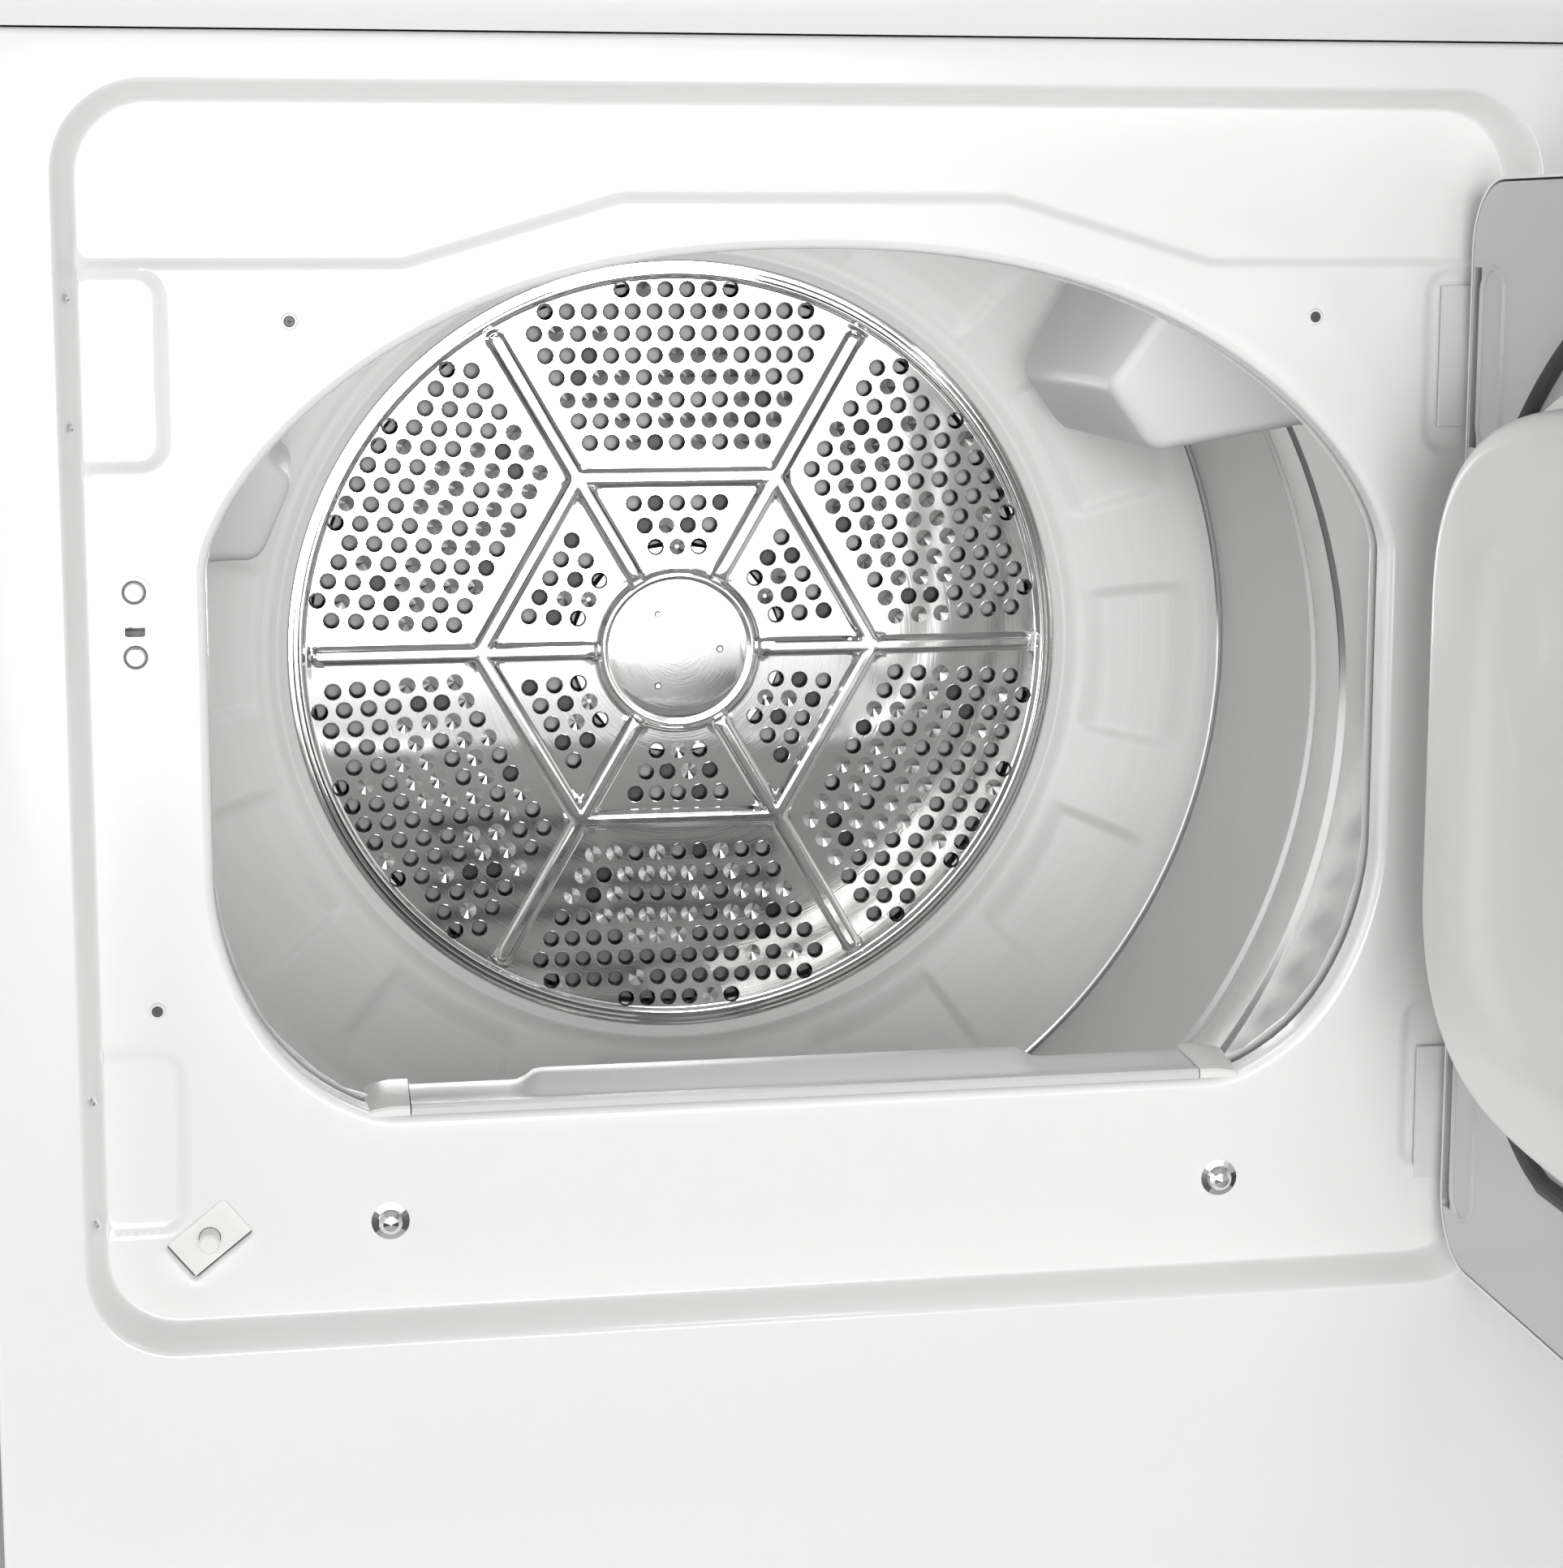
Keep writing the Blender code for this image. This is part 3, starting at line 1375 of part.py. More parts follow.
def belt_loop(offset):
    """The belt's line around the drum, the motor's pulley and the idler.

    offset is outward from the belt's middle. The idler lies outside the loop, so the belt
    passes it on its inner side, and goes round it the other way.
    """
    gap = BELT_CLEARANCE + BELT_THICKNESS / 2
    wheels = [
        (Vector((0, DRUM_AXIS_Z)), DRUM_RADIUS + DRUM_SHEET + gap + offset, 1),
        (Vector((MOTOR_X, MOTOR_Z)), PULLEY_RADIUS + gap + offset, 1),
        (Vector((IDLER_X, IDLER_Z)), IDLER_RADIUS + gap - offset, -1),
    ]
    touches = []
    for (a, ra, sa), (b, rb, sb) in zip(wheels, [*wheels[1:], wheels[0]]):
        # The belt runs anticlockwise, so a wheel of sense 1 has its centre on the belt's left.
        span = b - a
        lean = acos((sa * ra - sb * rb) / span.length)
        heading = atan2(span.y, span.x) - lean
        normal = Vector((cos(heading), sin(heading)))
        touches.append((a + normal * sa * ra, b + normal * sb * rb))
    points = []
    for k, (centre, radius, sense) in enumerate(wheels):
        arrive, leave = touches[k - 1][1] - centre, touches[k][0] - centre
        start, end = atan2(arrive.y, arrive.x), atan2(leave.y, leave.x)
        turn = (end - start) % (2 * pi) if sense > 0 else -((start - end) % (2 * pi))
        steps = max(2, ceil(abs(degrees(turn)) / 9))
        for i in range(steps + 1):
            angle = start + turn * i / steps
            points.append((centre.x + radius * cos(angle), centre.y + radius * sin(angle)))
    return points


def make_belt_and_idler():
    add_outline(
        "drive_belt",
        [belt_loop(BELT_THICKNESS / 2), belt_loop(-BELT_THICKNESS / 2)],
        depth(BELT_Y - BELT_WIDTH / 2),
        depth(BELT_Y + BELT_WIDTH / 2),
        "dark_rubber",
    )
    bore = IDLER_AXLE_RADIUS
    half = BELT_WIDTH / 2 + 0.002
    add_turned(
        "idler_wheel",
        [
            (bore + SEAT, BELT_Y - half),
            (IDLER_RADIUS, BELT_Y - half),
            (IDLER_RADIUS, BELT_Y + half),
            (bore + SEAT, BELT_Y + half),
        ],
        (IDLER_X, depth(0), IDLER_Z),
        "grey_plastic",
        closed=True,
        steps=28,
    )
    arm_y = BELT_Y + half + 0.001
    reach = hypot(IDLER_X - IDLER_PIVOT_X, IDLER_Z - IDLER_PIVOT_Z)
    lean = atan2(IDLER_Z - IDLER_PIVOT_Z, IDLER_X - IDLER_PIVOT_X)
    outline = []
    for x, start in ((reach, -90), (0, 90)):
        for i in range(9):
            angle = radians(start + 180 * i / 8)
            outline.append((x + IDLER_ARM_HALF * cos(angle), IDLER_ARM_HALF * sin(angle)))
    turned = [
        (
            IDLER_PIVOT_X + x * cos(lean) - z * sin(lean),
            IDLER_PIVOT_Z + x * sin(lean) + z * cos(lean),
        )
        for x, z in outline
    ]
    arm = add_outline(
        "idler_arm", [turned], depth(arm_y), depth(arm_y + IDLER_ARM_THICKNESS), "steel"
    )
    axle = add_cylinder(
        "idler_axle",
        (IDLER_X, depth(arm_y - half), IDLER_Z),
        bore,
        2 * half + 0.004,
        (0, 1, 0),
        "steel",
        steps=16,
    )
    pivot_hole = add_cylinder(
        "idler_pivot_hole",
        (IDLER_PIVOT_X, depth(arm_y), IDLER_PIVOT_Z),
        IDLER_PIVOT_RADIUS + SEAT,
        0.02,
        (0, 1, 0),
        None,
        steps=16,
        cutter=True,
    )
    cut(join(arm, axle), pivot_hole)
    post_y = arm_y + IDLER_ARM_THICKNESS + 0.001
    left, right = IDLER_PIVOT_X - IDLER_POST_HALF, IDLER_PIVOT_X + IDLER_POST_HALF
    base = FOOT_HEIGHT + SHEET + SEAT
    post = add_box(
        "idler_bracket",
        (left, depth(post_y), base),
        (right, depth(post_y + 0.004), IDLER_PIVOT_Z + IDLER_POST_HALF),
        "galvanised",
    )
    foot = add_box(
        "idler_bracket_foot",
        (left, depth(post_y), base),
        (right, depth(post_y + 0.036), base + SHEET),
        "galvanised",
    )
    pin = add_cylinder(
        "idler_pivot_pin",
        (IDLER_PIVOT_X, depth(arm_y + 0.002), IDLER_PIVOT_Z),
        IDLER_PIVOT_RADIUS,
        0.010,
        (0, 1, 0),
        "steel",
        steps=16,
    )
    join(post, foot, pin)


# ---- Door -------------------------------------------------------------------------------
def open_door(obj, pivot):
    """Turns a door piece, modelled closed, about the hinge axis to its rest place."""
    obj.parent = pivot
    obj.location = obj.location - Vector((HINGE_X, depth(HINGE_Y), 0))


def hinge_notches(label):
    cutters = []
    for end, rise in HINGE_RISES.items():
        z = DRUM_AXIS_Z + rise
        cutters.append(
            add_box(
                f"hinge_notch_{end}_{label}",
                (HINGE_X - 0.006, depth(HINGE_Y - 0.0075), z - HINGE_NOTCH_HEIGHT / 2),
                (HINGE_X + 0.020, depth(DOOR_BACK_Y + 0.01), z + HINGE_NOTCH_HEIGHT / 2),
                None,
                cutter=True,
            )
        )
    return cutters


def make_door():
    pivot = bpy.data.objects.new("door_axis", None)
    pivot.location = (HINGE_X, depth(HINGE_Y), 0)
    PARTS.objects.link(pivot)
    top, bottom = DRUM_AXIS_Z + DOOR_TOP_RISE, DRUM_AXIS_Z + DOOR_BOTTOM_RISE
    pieces = []

    def outline(inset):
        return rounded_rectangle(
            -DOOR_HALF + inset, DOOR_HALF - inset, bottom + inset, top - inset, DOOR_CORNER - inset, 4
        )

    soft = DOOR_SOFT_EDGE
    outer = add_shell(
        "door_outer_panel",
        [at(outline(0), DOOR_BACK_Y), at(outline(0), DOOR_FRONT_Y + soft), at(outline(soft), DOOR_FRONT_Y)],
        FORWARD,
        SHEET,
        "enamel",
    )
    pieces += [outer, *hinge_notches("outer")]
    cut(outer, *pieces[1:])

    inner = add_outline(
        "door_inner_panel",
        [outline(SHEET + SEAT)],
        depth(DOOR_BACK_Y - SHEET),
        depth(DOOR_BACK_Y),
        "enamel",
    )
    notches = hinge_notches("inner")
    cut(inner, *notches)
    pieces += [inner, *notches]

    face_y = DOOR_BACK_Y + LINER_BULGE
    base_y = DOOR_BACK_Y + SEAT + PLASTIC
    round_off = 0.008
    liner = add_shell(
        "door_liner",
        [
            at(liner_outline(LINER_FLANGE), base_y),
            at(liner_outline(0), base_y),
            at(liner_outline(-LINER_DRAFT / 3), face_y - round_off),
            at(liner_outline(-LINER_DRAFT), face_y - 0.001),
            at(liner_outline(-LINER_DRAFT - 0.006), face_y),
        ],
        -FORWARD,
        PLASTIC,
        "white_plastic",
    )
    pieces.append(liner)

    gasket_y = DOOR_BACK_Y + SEAT
    gasket = add_outline(
        "door_gasket",
        [opening_outline(GASKET_INNER + GASKET_WIDTH), opening_outline(GASKET_INNER)],
        depth(gasket_y),
        depth(gasket_y + GASKET_THICKNESS),
        "dark_rubber",
    )
    pieces.append(gasket)

    width, length, height = STRIKE
    z = DRUM_AXIS_Z + CATCH_RISE
    strike = add_box(
        "door_strike",
        (CATCH_X - width / 2, depth(DOOR_BACK_Y + SEAT + STRIKE_FOOT[1] / 2), z - height / 2),
        (CATCH_X + width / 2, depth(DOOR_BACK_Y + length), z + height / 2),
        "steel",
    )
    strike_foot = add_box(
        "strike_foot",
        (CATCH_X - STRIKE_FOOT[0] / 2, depth(DOOR_BACK_Y + SEAT), z - STRIKE_FOOT[2] / 2),
        (CATCH_X + STRIKE_FOOT[0] / 2, depth(DOOR_BACK_Y + SEAT + STRIKE_FOOT[1]), z + STRIKE_FOOT[2] / 2),
        "steel",
    )
    join(strike, strike_foot)
    pieces += [strike, strike_foot]

    for end, rise in HINGE_RISES.items():
        pieces += make_hinge(end, DRUM_AXIS_Z + rise)
    for piece in pieces:
        open_door(piece, pivot)
    pivot.rotation_euler = (0, 0, radians(DOOR_OPEN_ANGLE))


def make_hinge(end, z):
    """A leaf and knuckle on the cabinet, and a forked leaf with the pin on the door."""
    x, y = HINGE_X, HINGE_Y
    half = HINGE_KNUCKLE / 2
    foot = add_box(
        f"cabinet_hinge_leaf_{end}",
        (x - 0.018, depth(FLOOR_Y - SEAT - 0.0018), z - HINGE_LEAF_HEIGHT / 2),
        (x + 0.0007, depth(FLOOR_Y - SEAT), z + HINGE_LEAF_HEIGHT / 2),
        "steel",
    )
    web = add_box(
        f"cabinet_hinge_web_{end}",
        (x - 0.0007, depth(y + HINGE_BARREL_RADIUS - 0.001), z - half),
        (x + 0.0007, depth(FLOOR_Y - SEAT - 0.0005), z + half),
        "steel",
    )
    barrel = add_cylinder(
        f"cabinet_hinge_barrel_{end}",
        (x, depth(y), z),
        HINGE_BARREL_RADIUS,
        2 * half,
        (0, 0, 1),
        "steel",
        20,
    )
    bore = add_cylinder(
        f"cabinet_hinge_bore_{end}",
        (x, depth(y), z),
        HINGE_PIN_RADIUS + HINGE_PIN_CLEARANCE,
        0.1,
        (0, 0, 1),
        None,
        16,
        cutter=True,
    )
    cut(join(foot, web, barrel), bore)

    fork = half + 0.0006
    outer_half = fork + 0.010
    leaf = add_box(
        f"door_hinge_leaf_{end}",
        (x - 0.028, depth(y - 0.0008), z - HINGE_LEAF_HEIGHT / 2),
        (x, depth(y + 0.0008), z + HINGE_LEAF_HEIGHT / 2),
        "steel",
    )
    gap = add_box(
        f"door_hinge_gap_{end}",
        (x - HINGE_BARREL_RADIUS - 0.0012, depth(y - 0.01), z - fork),
        (x + 0.01, depth(y + 0.01), z + fork),
        None,
        cutter=True,
    )
    knuckles = [
        add_cylinder(
            f"door_hinge_knuckle_{name}_{end}",
            (x, depth(y), z + sign * (fork + outer_half) / 2),
            HINGE_BARREL_RADIUS,
            outer_half - fork,
            (0, 0, 1),
            "steel",
            20,
        )
        for name, sign in (("upper", 1), ("lower", -1))
    ]
    pin = add_cylinder(
        f"door_hinge_pin_{end}",
        (x, depth(y), z),
        HINGE_PIN_RADIUS,
        2 * outer_half - 0.001,
        (0, 0, 1),
        "steel",
        16,
    )
    cut(leaf, gap)
    join(leaf, *knuckles, pin)
    return [leaf, gap, *knuckles, pin]


# ---- Console ----------------------------------------------------------------------------
def make_console():
    """A shell with a sloping face. Its controls stand square to that face."""
    back = CABINET_DEPTH
    low, high = CABINET_TOP + SEAT, CABINET_TOP + CONSOLE_HEIGHT
    foot_y, head_y = back - CONSOLE_FOOT_DEPTH, back - CONSOLE_HEAD_DEPTH
    brow, brow_drop = CONSOLE_BROW
    shell_back = back - CONSOLE_BACK
    section = [(foot_y, low), (shell_back, low), (shell_back, high), (head_y + brow, high)]
    section += [(head_y, high - brow_drop)]
    lean = atan2(head_y - foot_y, high - brow_drop - low)
    wall = PLASTIC
    shell = add_prism("console_shell", section, CONSOLE_HALF, "white_plastic")
    hollow_section = [
        (foot_y + wall * 1.3, low - 0.01),
        (back + 0.01, low - 0.01),
        (back + 0.01, high - wall),
        (head_y + brow, high - wall),
        (head_y + wall, high - brow_drop - 0.001),
        (foot_y + wall * 1.3, low + 0.002),
    ]
    hollow = add_prism("console_hollow", hollow_section, CONSOLE_HALF - wall, None, cutter=True)
    cut(shell, hollow)
    add_box(
        "console_rear_cover",
        (-CONSOLE_HALF, depth(shell_back + SEAT), low),
        (CONSOLE_HALF, depth(shell_back + SEAT + SHEET), high),
        "galvanised",
    )
    face_normal = Vector((0, -cos(lean), sin(lean)))
    face_y = foot_y + KNOB_RISE * (head_y - foot_y) / (high - brow_drop - low)
    face_point = Vector((0, depth(face_y), low + KNOB_RISE))
    for name, x, radius, height, stem, travel, finish in (
        (
            "cycle_knob",
            CYCLE_KNOB_X,
            CYCLE_KNOB_RADIUS,
            CYCLE_KNOB_HEIGHT,
            KNOB_STEM_RADIUS,
            0,
            "white_plastic",
        ),
        (
            "temperature_knob",
            TEMPERATURE_KNOB_X,
            TEMPERATURE_KNOB_RADIUS,
            TEMPERATURE_KNOB_HEIGHT,
            KNOB_STEM_RADIUS,
            0,
            "white_plastic",
        ),
        (
            "start_button",
            START_BUTTON_X,
            START_BUTTON_RADIUS,
            START_BUTTON_HEIGHT,
            START_STEM_RADIUS,
            START_TRAVEL,
            "grey_plastic",
        ),
    ):
        place = face_point + Vector((x, 0, 0))
        hole = add_cylinder(
            f"{name}_hole", place, stem + 2 * SEAT, 0.03, face_normal, None, steps=20, cutter=True
        )
        cut(shell, hole)
        gap = 0.001 + travel
        top = height + travel
        knob = add_turned(
            name,
            [
                (0, top),
                (radius * 0.86, top),
                (radius * 0.94, top - 0.002),
                (radius, gap),
                (stem, gap),
                (stem, -STEM_LENGTH),
                (0, -STEM_LENGTH),
            ],
            place,
            finish,
            steps=32,
            along="Z",
        )
        knob.rotation_mode = "QUATERNION"
        knob.rotation_quaternion = Vector((0, 0, 1)).rotation_difference(face_normal)
    timer_place = face_point + Vector((CYCLE_KNOB_X, 0, 0))
    add_cylinder(
        "cycle_timer",
        timer_place - face_normal * (STEM_LENGTH + 0.0025 + TIMER_LENGTH / 2),
        TIMER_RADIUS,
        TIMER_LENGTH,
        face_normal,
        "grey_plastic",
        steps=24,
    )


def add_prism(name, section, half, finish, cutter=False):
    """A section of (distance behind the front, z) points, extruded along X to both sides."""
    bm = bmesh.new()
    ends = [[bm.verts.new((x, depth(y), z)) for y, z in section] for x in (-half, half)]
    for i in range(len(section)):
        j = (i + 1) % len(section)
        bm.faces.new((ends[0][i], ends[0][j], ends[1][j], ends[1][i]))
    bm.faces.new(ends[0])
    bm.faces.new(ends[1])
    bmesh.ops.recalc_face_normals(bm, faces=bm.faces)
    return add_mesh(name, bm, finish, cutter=cutter)


def main():
    clear_scene()
    for name, (colour, roughness, metallic) in FINISHES.items():
        MATERIALS[name] = finish_material(name, colour, roughness, metallic)
    make_base()
    make_sides()
    make_rear()
    make_top_cover()
    make_front_panel()
    make_bulkhead()
    make_catch()
    make_switch()
    make_drum()
    make_heater()
    make_lint_filter()
    make_lint_duct()
    make_blower()
    make_exhaust()
    make_motor()
    make_belt_and_idler()
    make_door()
    make_console()


main()
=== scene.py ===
"""Looks of a front-loading vented clothes dryer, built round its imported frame.

Sizes are metres. A place inside the cabinet is written as (x, y, rise): x to the right of
the drum's axis, y behind the cabinet's front face, and rise above the drum's axis.
"""

import logging
from collections.abc import Callable, Iterable, Sequence
from dataclasses import dataclass, field
from enum import Enum
from math import ceil, cos, hypot, pi, radians, sin

import bmesh
import bpy
from mathutils import Matrix, Vector
from mathutils.geometry import delaunay_2d_cdt
from mathutils.kdtree import KDTree


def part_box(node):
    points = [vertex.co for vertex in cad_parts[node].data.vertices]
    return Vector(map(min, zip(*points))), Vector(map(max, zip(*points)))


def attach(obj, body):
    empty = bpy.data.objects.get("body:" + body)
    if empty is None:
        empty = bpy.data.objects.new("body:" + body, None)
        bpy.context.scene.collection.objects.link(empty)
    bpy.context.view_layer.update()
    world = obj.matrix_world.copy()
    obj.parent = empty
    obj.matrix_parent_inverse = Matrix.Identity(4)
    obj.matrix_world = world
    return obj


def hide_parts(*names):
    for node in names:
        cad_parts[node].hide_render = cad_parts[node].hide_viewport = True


LOG = logging.getLogger("dryer")
Flat = tuple[float, float]
Height = Callable[[float, float], float]

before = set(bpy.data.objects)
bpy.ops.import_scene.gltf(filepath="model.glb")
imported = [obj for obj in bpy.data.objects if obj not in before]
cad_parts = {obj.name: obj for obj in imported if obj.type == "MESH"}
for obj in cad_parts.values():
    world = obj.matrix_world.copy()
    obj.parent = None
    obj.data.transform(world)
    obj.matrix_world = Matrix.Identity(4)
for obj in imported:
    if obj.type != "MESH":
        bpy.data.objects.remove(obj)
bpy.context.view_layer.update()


# ---- Places read from the frame -----------------------------------------------------------
@dataclass(frozen=True)
class Datum:
    """The cabinet's main faces and the drum's axis, as the frame gives them."""

    front: float
    axis: float
    half: float
    base: float
    seam: float
    top: float
    rear: float

    @classmethod
    def from_frame(cls) -> "Datum":
        """Reads the boxes of the nodes that set the cabinet's faces."""
        panel_low, panel_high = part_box("front_panel")
        shaft_low, shaft_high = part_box("drum_shaft")
        cover_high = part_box("top_cover")[1]
        return cls(
            front=panel_low.y,
            axis=(shaft_low.z + shaft_high.z) / 2,
            half=panel_high.x,
            base=panel_low.z,
            seam=panel_high.z,
            top=cover_high.z,
            rear=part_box("side_panel_left")[1].y,
        )

    def place(self, x: float, y: float, rise: float) -> Vector:
        """World coordinates of a place inside the cabinet."""
        return Vector((x, self.front + y, self.axis + rise))


DATUM = Datum.from_frame()
FORWARD = Vector((0, -1, 0))


class Body(Enum):
    """The moving bodies that pieces ride on."""

    CABINET = "cabinet"
    DOOR = "door"
    DRUM = "drum"
    ROTOR = "motor_rotor"
    FILTER = "lint_filter"
    CYCLE = "cycle_knob"
    TEMPERATURE = "temperature_knob"
    START = "start_button"


# ---- Shader nodes -------------------------------------------------------------------------
class Sock:
    """A shader number that Python's operators work on."""

    def __init__(self, graph: "Graph", socket: bpy.types.NodeSocket) -> None:
        """Wraps one output socket of a material's graph."""
        self.graph = graph
        self.socket = socket

    def _math(self, operation: str, first: object, second: object) -> "Sock":
        """A Math node on two numbers or sockets."""
        return self.graph.node("ShaderNodeMath", {"operation": operation}, {0: first, 1: second})

    def __add__(self, other: object) -> "Sock":
        """This number plus another."""
        return self._math("ADD", self, other)

    __radd__ = __add__

    def __sub__(self, other: object) -> "Sock":
        """This number less another."""
        return self._math("SUBTRACT", self, other)

    def __rsub__(self, other: object) -> "Sock":
        """Another number less this one."""
        return self._math("SUBTRACT", other, self)

    def __mul__(self, other: object) -> "Sock":
        """This number times another."""
        return self._math("MULTIPLY", self, other)

    __rmul__ = __mul__

    def __pow__(self, other: object) -> "Sock":
        """This number to a power."""
        return self._math("POWER", self, other)


class Graph:
    """One material's nodes, with the Principled shader at their end."""

    def __init__(self, name: str) -> None:
        """Makes an empty material of that name."""
        self.material = bpy.data.materials.new(name)
        self.material.use_nodes = True
        self.tree = self.material.node_tree
        self.shader = self.tree.nodes["Principled BSDF"]

    def node(self, kind: str, settings: dict[str, object], inputs: dict, output: object = 0) -> Sock:
        """Adds a node.

        Args:
            kind: The node's type.
            settings: Its properties, set before its sockets.
            inputs: Values or sockets by input name or index.
            output: The name or index of the output to give back.

        Returns:
            The chosen output.
        """
        made = self.tree.nodes.new(kind)
        for name, value in settings.items():
            setattr(made, name, value)
        for key, value in inputs.items():
            self.feed(made.inputs[key], value)
        return Sock(self, made.outputs[output])

    def feed(self, socket: bpy.types.NodeSocket, value: object) -> None:
        """Links a socket to another, or sets its value."""
        if isinstance(value, Sock):
            self.tree.links.new(value.socket, socket)
        else:
            socket.default_value = value

    def coordinates(self, centre: Vector = Vector(), scale: Flat | tuple = (1, 1, 1)) -> Sock:
        """Object coordinates measured from a centre and stretched."""
        place = self.node("ShaderNodeTexCoord", {}, {}, "Object")
        moved = self.node("ShaderNodeMapping", {}, {"Vector": place, "Location": -centre})
        return self.node("ShaderNodeMapping", {}, {"Vector": moved, "Scale": scale})

    def noise(self, vector: Sock, scale: float, detail: float = 2.0) -> Sock:
        """Smooth noise from 0 to 1."""
        return self.node(
            "ShaderNodeTexNoise", {}, {"Vector": vector, "Scale": scale, "Detail": detail}, 0
        )

    def blend(self, factor: Sock, first: tuple, second: tuple) -> Sock:
        """A colour between two by a factor."""
        settings = {"data_type": "RGBA"}
        inputs = {0: factor, 6: (*first, 1), 7: (*second, 1)}
        return self.node("ShaderNodeMix", settings, inputs, 2)

    def bump(self, height: Sock, distance: float, strength: float = 1.0) -> None:
        """Feeds a height in metres times distance to the shader's normal."""
        inputs = {"Height": height, "Distance": distance, "Strength": strength}
        self.feed(self.shader.inputs["Normal"], self.node("ShaderNodeBump", {}, inputs))


# ---- Finishes -----------------------------------------------------------------------------
@dataclass(frozen=True)
class Finish:
    """A finish: its colour and gloss, and the record's slot that it stands for."""

    name: str
    slot: str
    colour: tuple[float, float, float]
    roughness: float = 0.4
    metallic: float = 0.0
    coat: float = 0.0

    def material(self) -> bpy.types.Material:
        """The material, made when it is first asked for."""
        known = bpy.data.materials.get(self.name)
        if known:
            return known
        graph = Graph(self.name)
        graph.feed(graph.shader.inputs["Base Color"], (*self.colour, 1))
        graph.feed(graph.shader.inputs["Roughness"], self.roughness)
        graph.feed(graph.shader.inputs["Metallic"], self.metallic)
        graph.feed(graph.shader.inputs["Coat Weight"], self.coat)
        self.dress(graph)
        return graph.material

    def darker(self, share: float) -> tuple[float, float, float]:
        """The colour times a share."""
        return tuple(channel * share for channel in self.colour)

    def cloud(self, graph: Graph, scale: float, depth: float, swing: float) -> None:
        """Lets colour and roughness drift slowly over the surface.

        Args:
            graph: The material's nodes.
            scale: Clouds in a metre.
            depth: How far the colour falls, as a share.
            swing: How far the roughness moves each way.
        """
        drift = graph.noise(graph.coordinates(), scale, 3.0)
        graph.feed(graph.shader.inputs["Base Color"], graph.blend(drift, self.colour, self.darker(1 - depth)))
        graph.feed(graph.shader.inputs["Roughness"], drift * (2 * swing) + (self.roughness - swing))

    def dress(self, graph: Graph) -> None:
        """Adds what changes over the surface."""
        self.cloud(graph, 8.0, 0.05, 0.04)


@dataclass(frozen=True)
class Enamel(Finish):
    """Baked enamel, with the faint orange peel of sprayed paint."""

    peel: float = 0.00003

    def dress(self, graph: Graph) -> None:
        """Orange peel, and a drift in gloss."""
        self.cloud(graph, 3.0, 0.015, 0.03)
        graph.bump(graph.noise(graph.coordinates(), 260.0, 1.0), self.peel)


@dataclass(frozen=True)
class Brushed(Finish):
    """Sheet metal with fine lines that run round the drum's axis."""

    streak: float = 0.08

    def dress(self, graph: Graph) -> None:
        """Lines of equal distance from the front, broken up along their length."""
        place = graph.coordinates(Vector((0, 0, DATUM.axis)))
        apart = graph.tree.nodes.new("ShaderNodeSeparateXYZ")
        graph.feed(apart.inputs[0], place)
        x, y, z = (Sock(graph, output) for output in apart.outputs)
        angle = graph.node("ShaderNodeMath", {"operation": "ARCTAN2"}, {0: z, 1: x})
        radius = (x * x + z * z) ** 0.5
        across = (y + radius) * 900.0
        along = graph.node("ShaderNodeCombineXYZ", {}, {"X": angle * 2.0, "Y": across, "Z": across * 0.3})
        lines = graph.noise(along, 1.0, 2.0)
        graph.feed(graph.shader.inputs["Base Color"], graph.blend(lines, self.colour, self.darker(0.92)))
        gloss = lines * (2 * self.streak) + (self.roughness - self.streak)
        graph.feed(graph.shader.inputs["Roughness"], gloss)
        graph.bump(lines, 0.00001)


@dataclass(frozen=True)
class Burnished(Brushed):
    """Brushed sheet that grows bright towards the drum's front edge."""

    bright_from: float = 0.30
    bright_to: float = 0.25

    def dress(self, graph: Graph) -> None:
        """Adds the bright band to the brushed lines."""
        super().dress(graph)
        apart = graph.tree.nodes.new("ShaderNodeSeparateXYZ")
        graph.feed(apart.inputs[0], graph.coordinates())
        inputs = {"Value": Sock(graph, apart.outputs["Y"]), "From Min": DATUM.front + self.bright_to,
                  "From Max": DATUM.front + self.bright_from}
        dull = graph.node("ShaderNodeMapRange", {"interpolation_type": "SMOOTHSTEP"}, inputs)
        graph.feed(graph.shader.inputs["Roughness"], dull * (self.roughness - 0.12) + 0.12)
        graph.feed(graph.shader.inputs["Metallic"], 1.0 - dull * (1.0 - self.metallic))


@dataclass(frozen=True)
class Spangled(Finish):
    """Hot-dip galvanised sheet with its crystal spangle."""

    grains: float = 140.0

    def dress(self, graph: Graph) -> None:
        """Each crystal has its own grey and its own gloss."""
        cells = graph.node(
            "ShaderNodeTexVoronoi", {}, {"Vector": graph.coordinates(), "Scale": self.grains}, "Color"
        )
        shade = graph.node("ShaderNodeSeparateColor", {}, {0: cells})
        graph.feed(graph.shader.inputs["Base Color"], graph.blend(shade, self.colour, self.darker(0.8)))
        graph.feed(graph.shader.inputs["Roughness"], shade * 0.18 + (self.roughness - 0.09))


@dataclass(frozen=True)
class Moulded(Finish):
    """Injection-moulded plastic or rubber with a fine grain."""

    grain: float = 0.00004
    fineness: float = 900.0

    def dress(self, graph: Graph) -> None:
        """A fine grain over a slow drift."""
        self.cloud(graph, 12.0, 0.04, 0.04)
        graph.bump(graph.noise(graph.coordinates(), self.fineness, 2.0), self.grain)


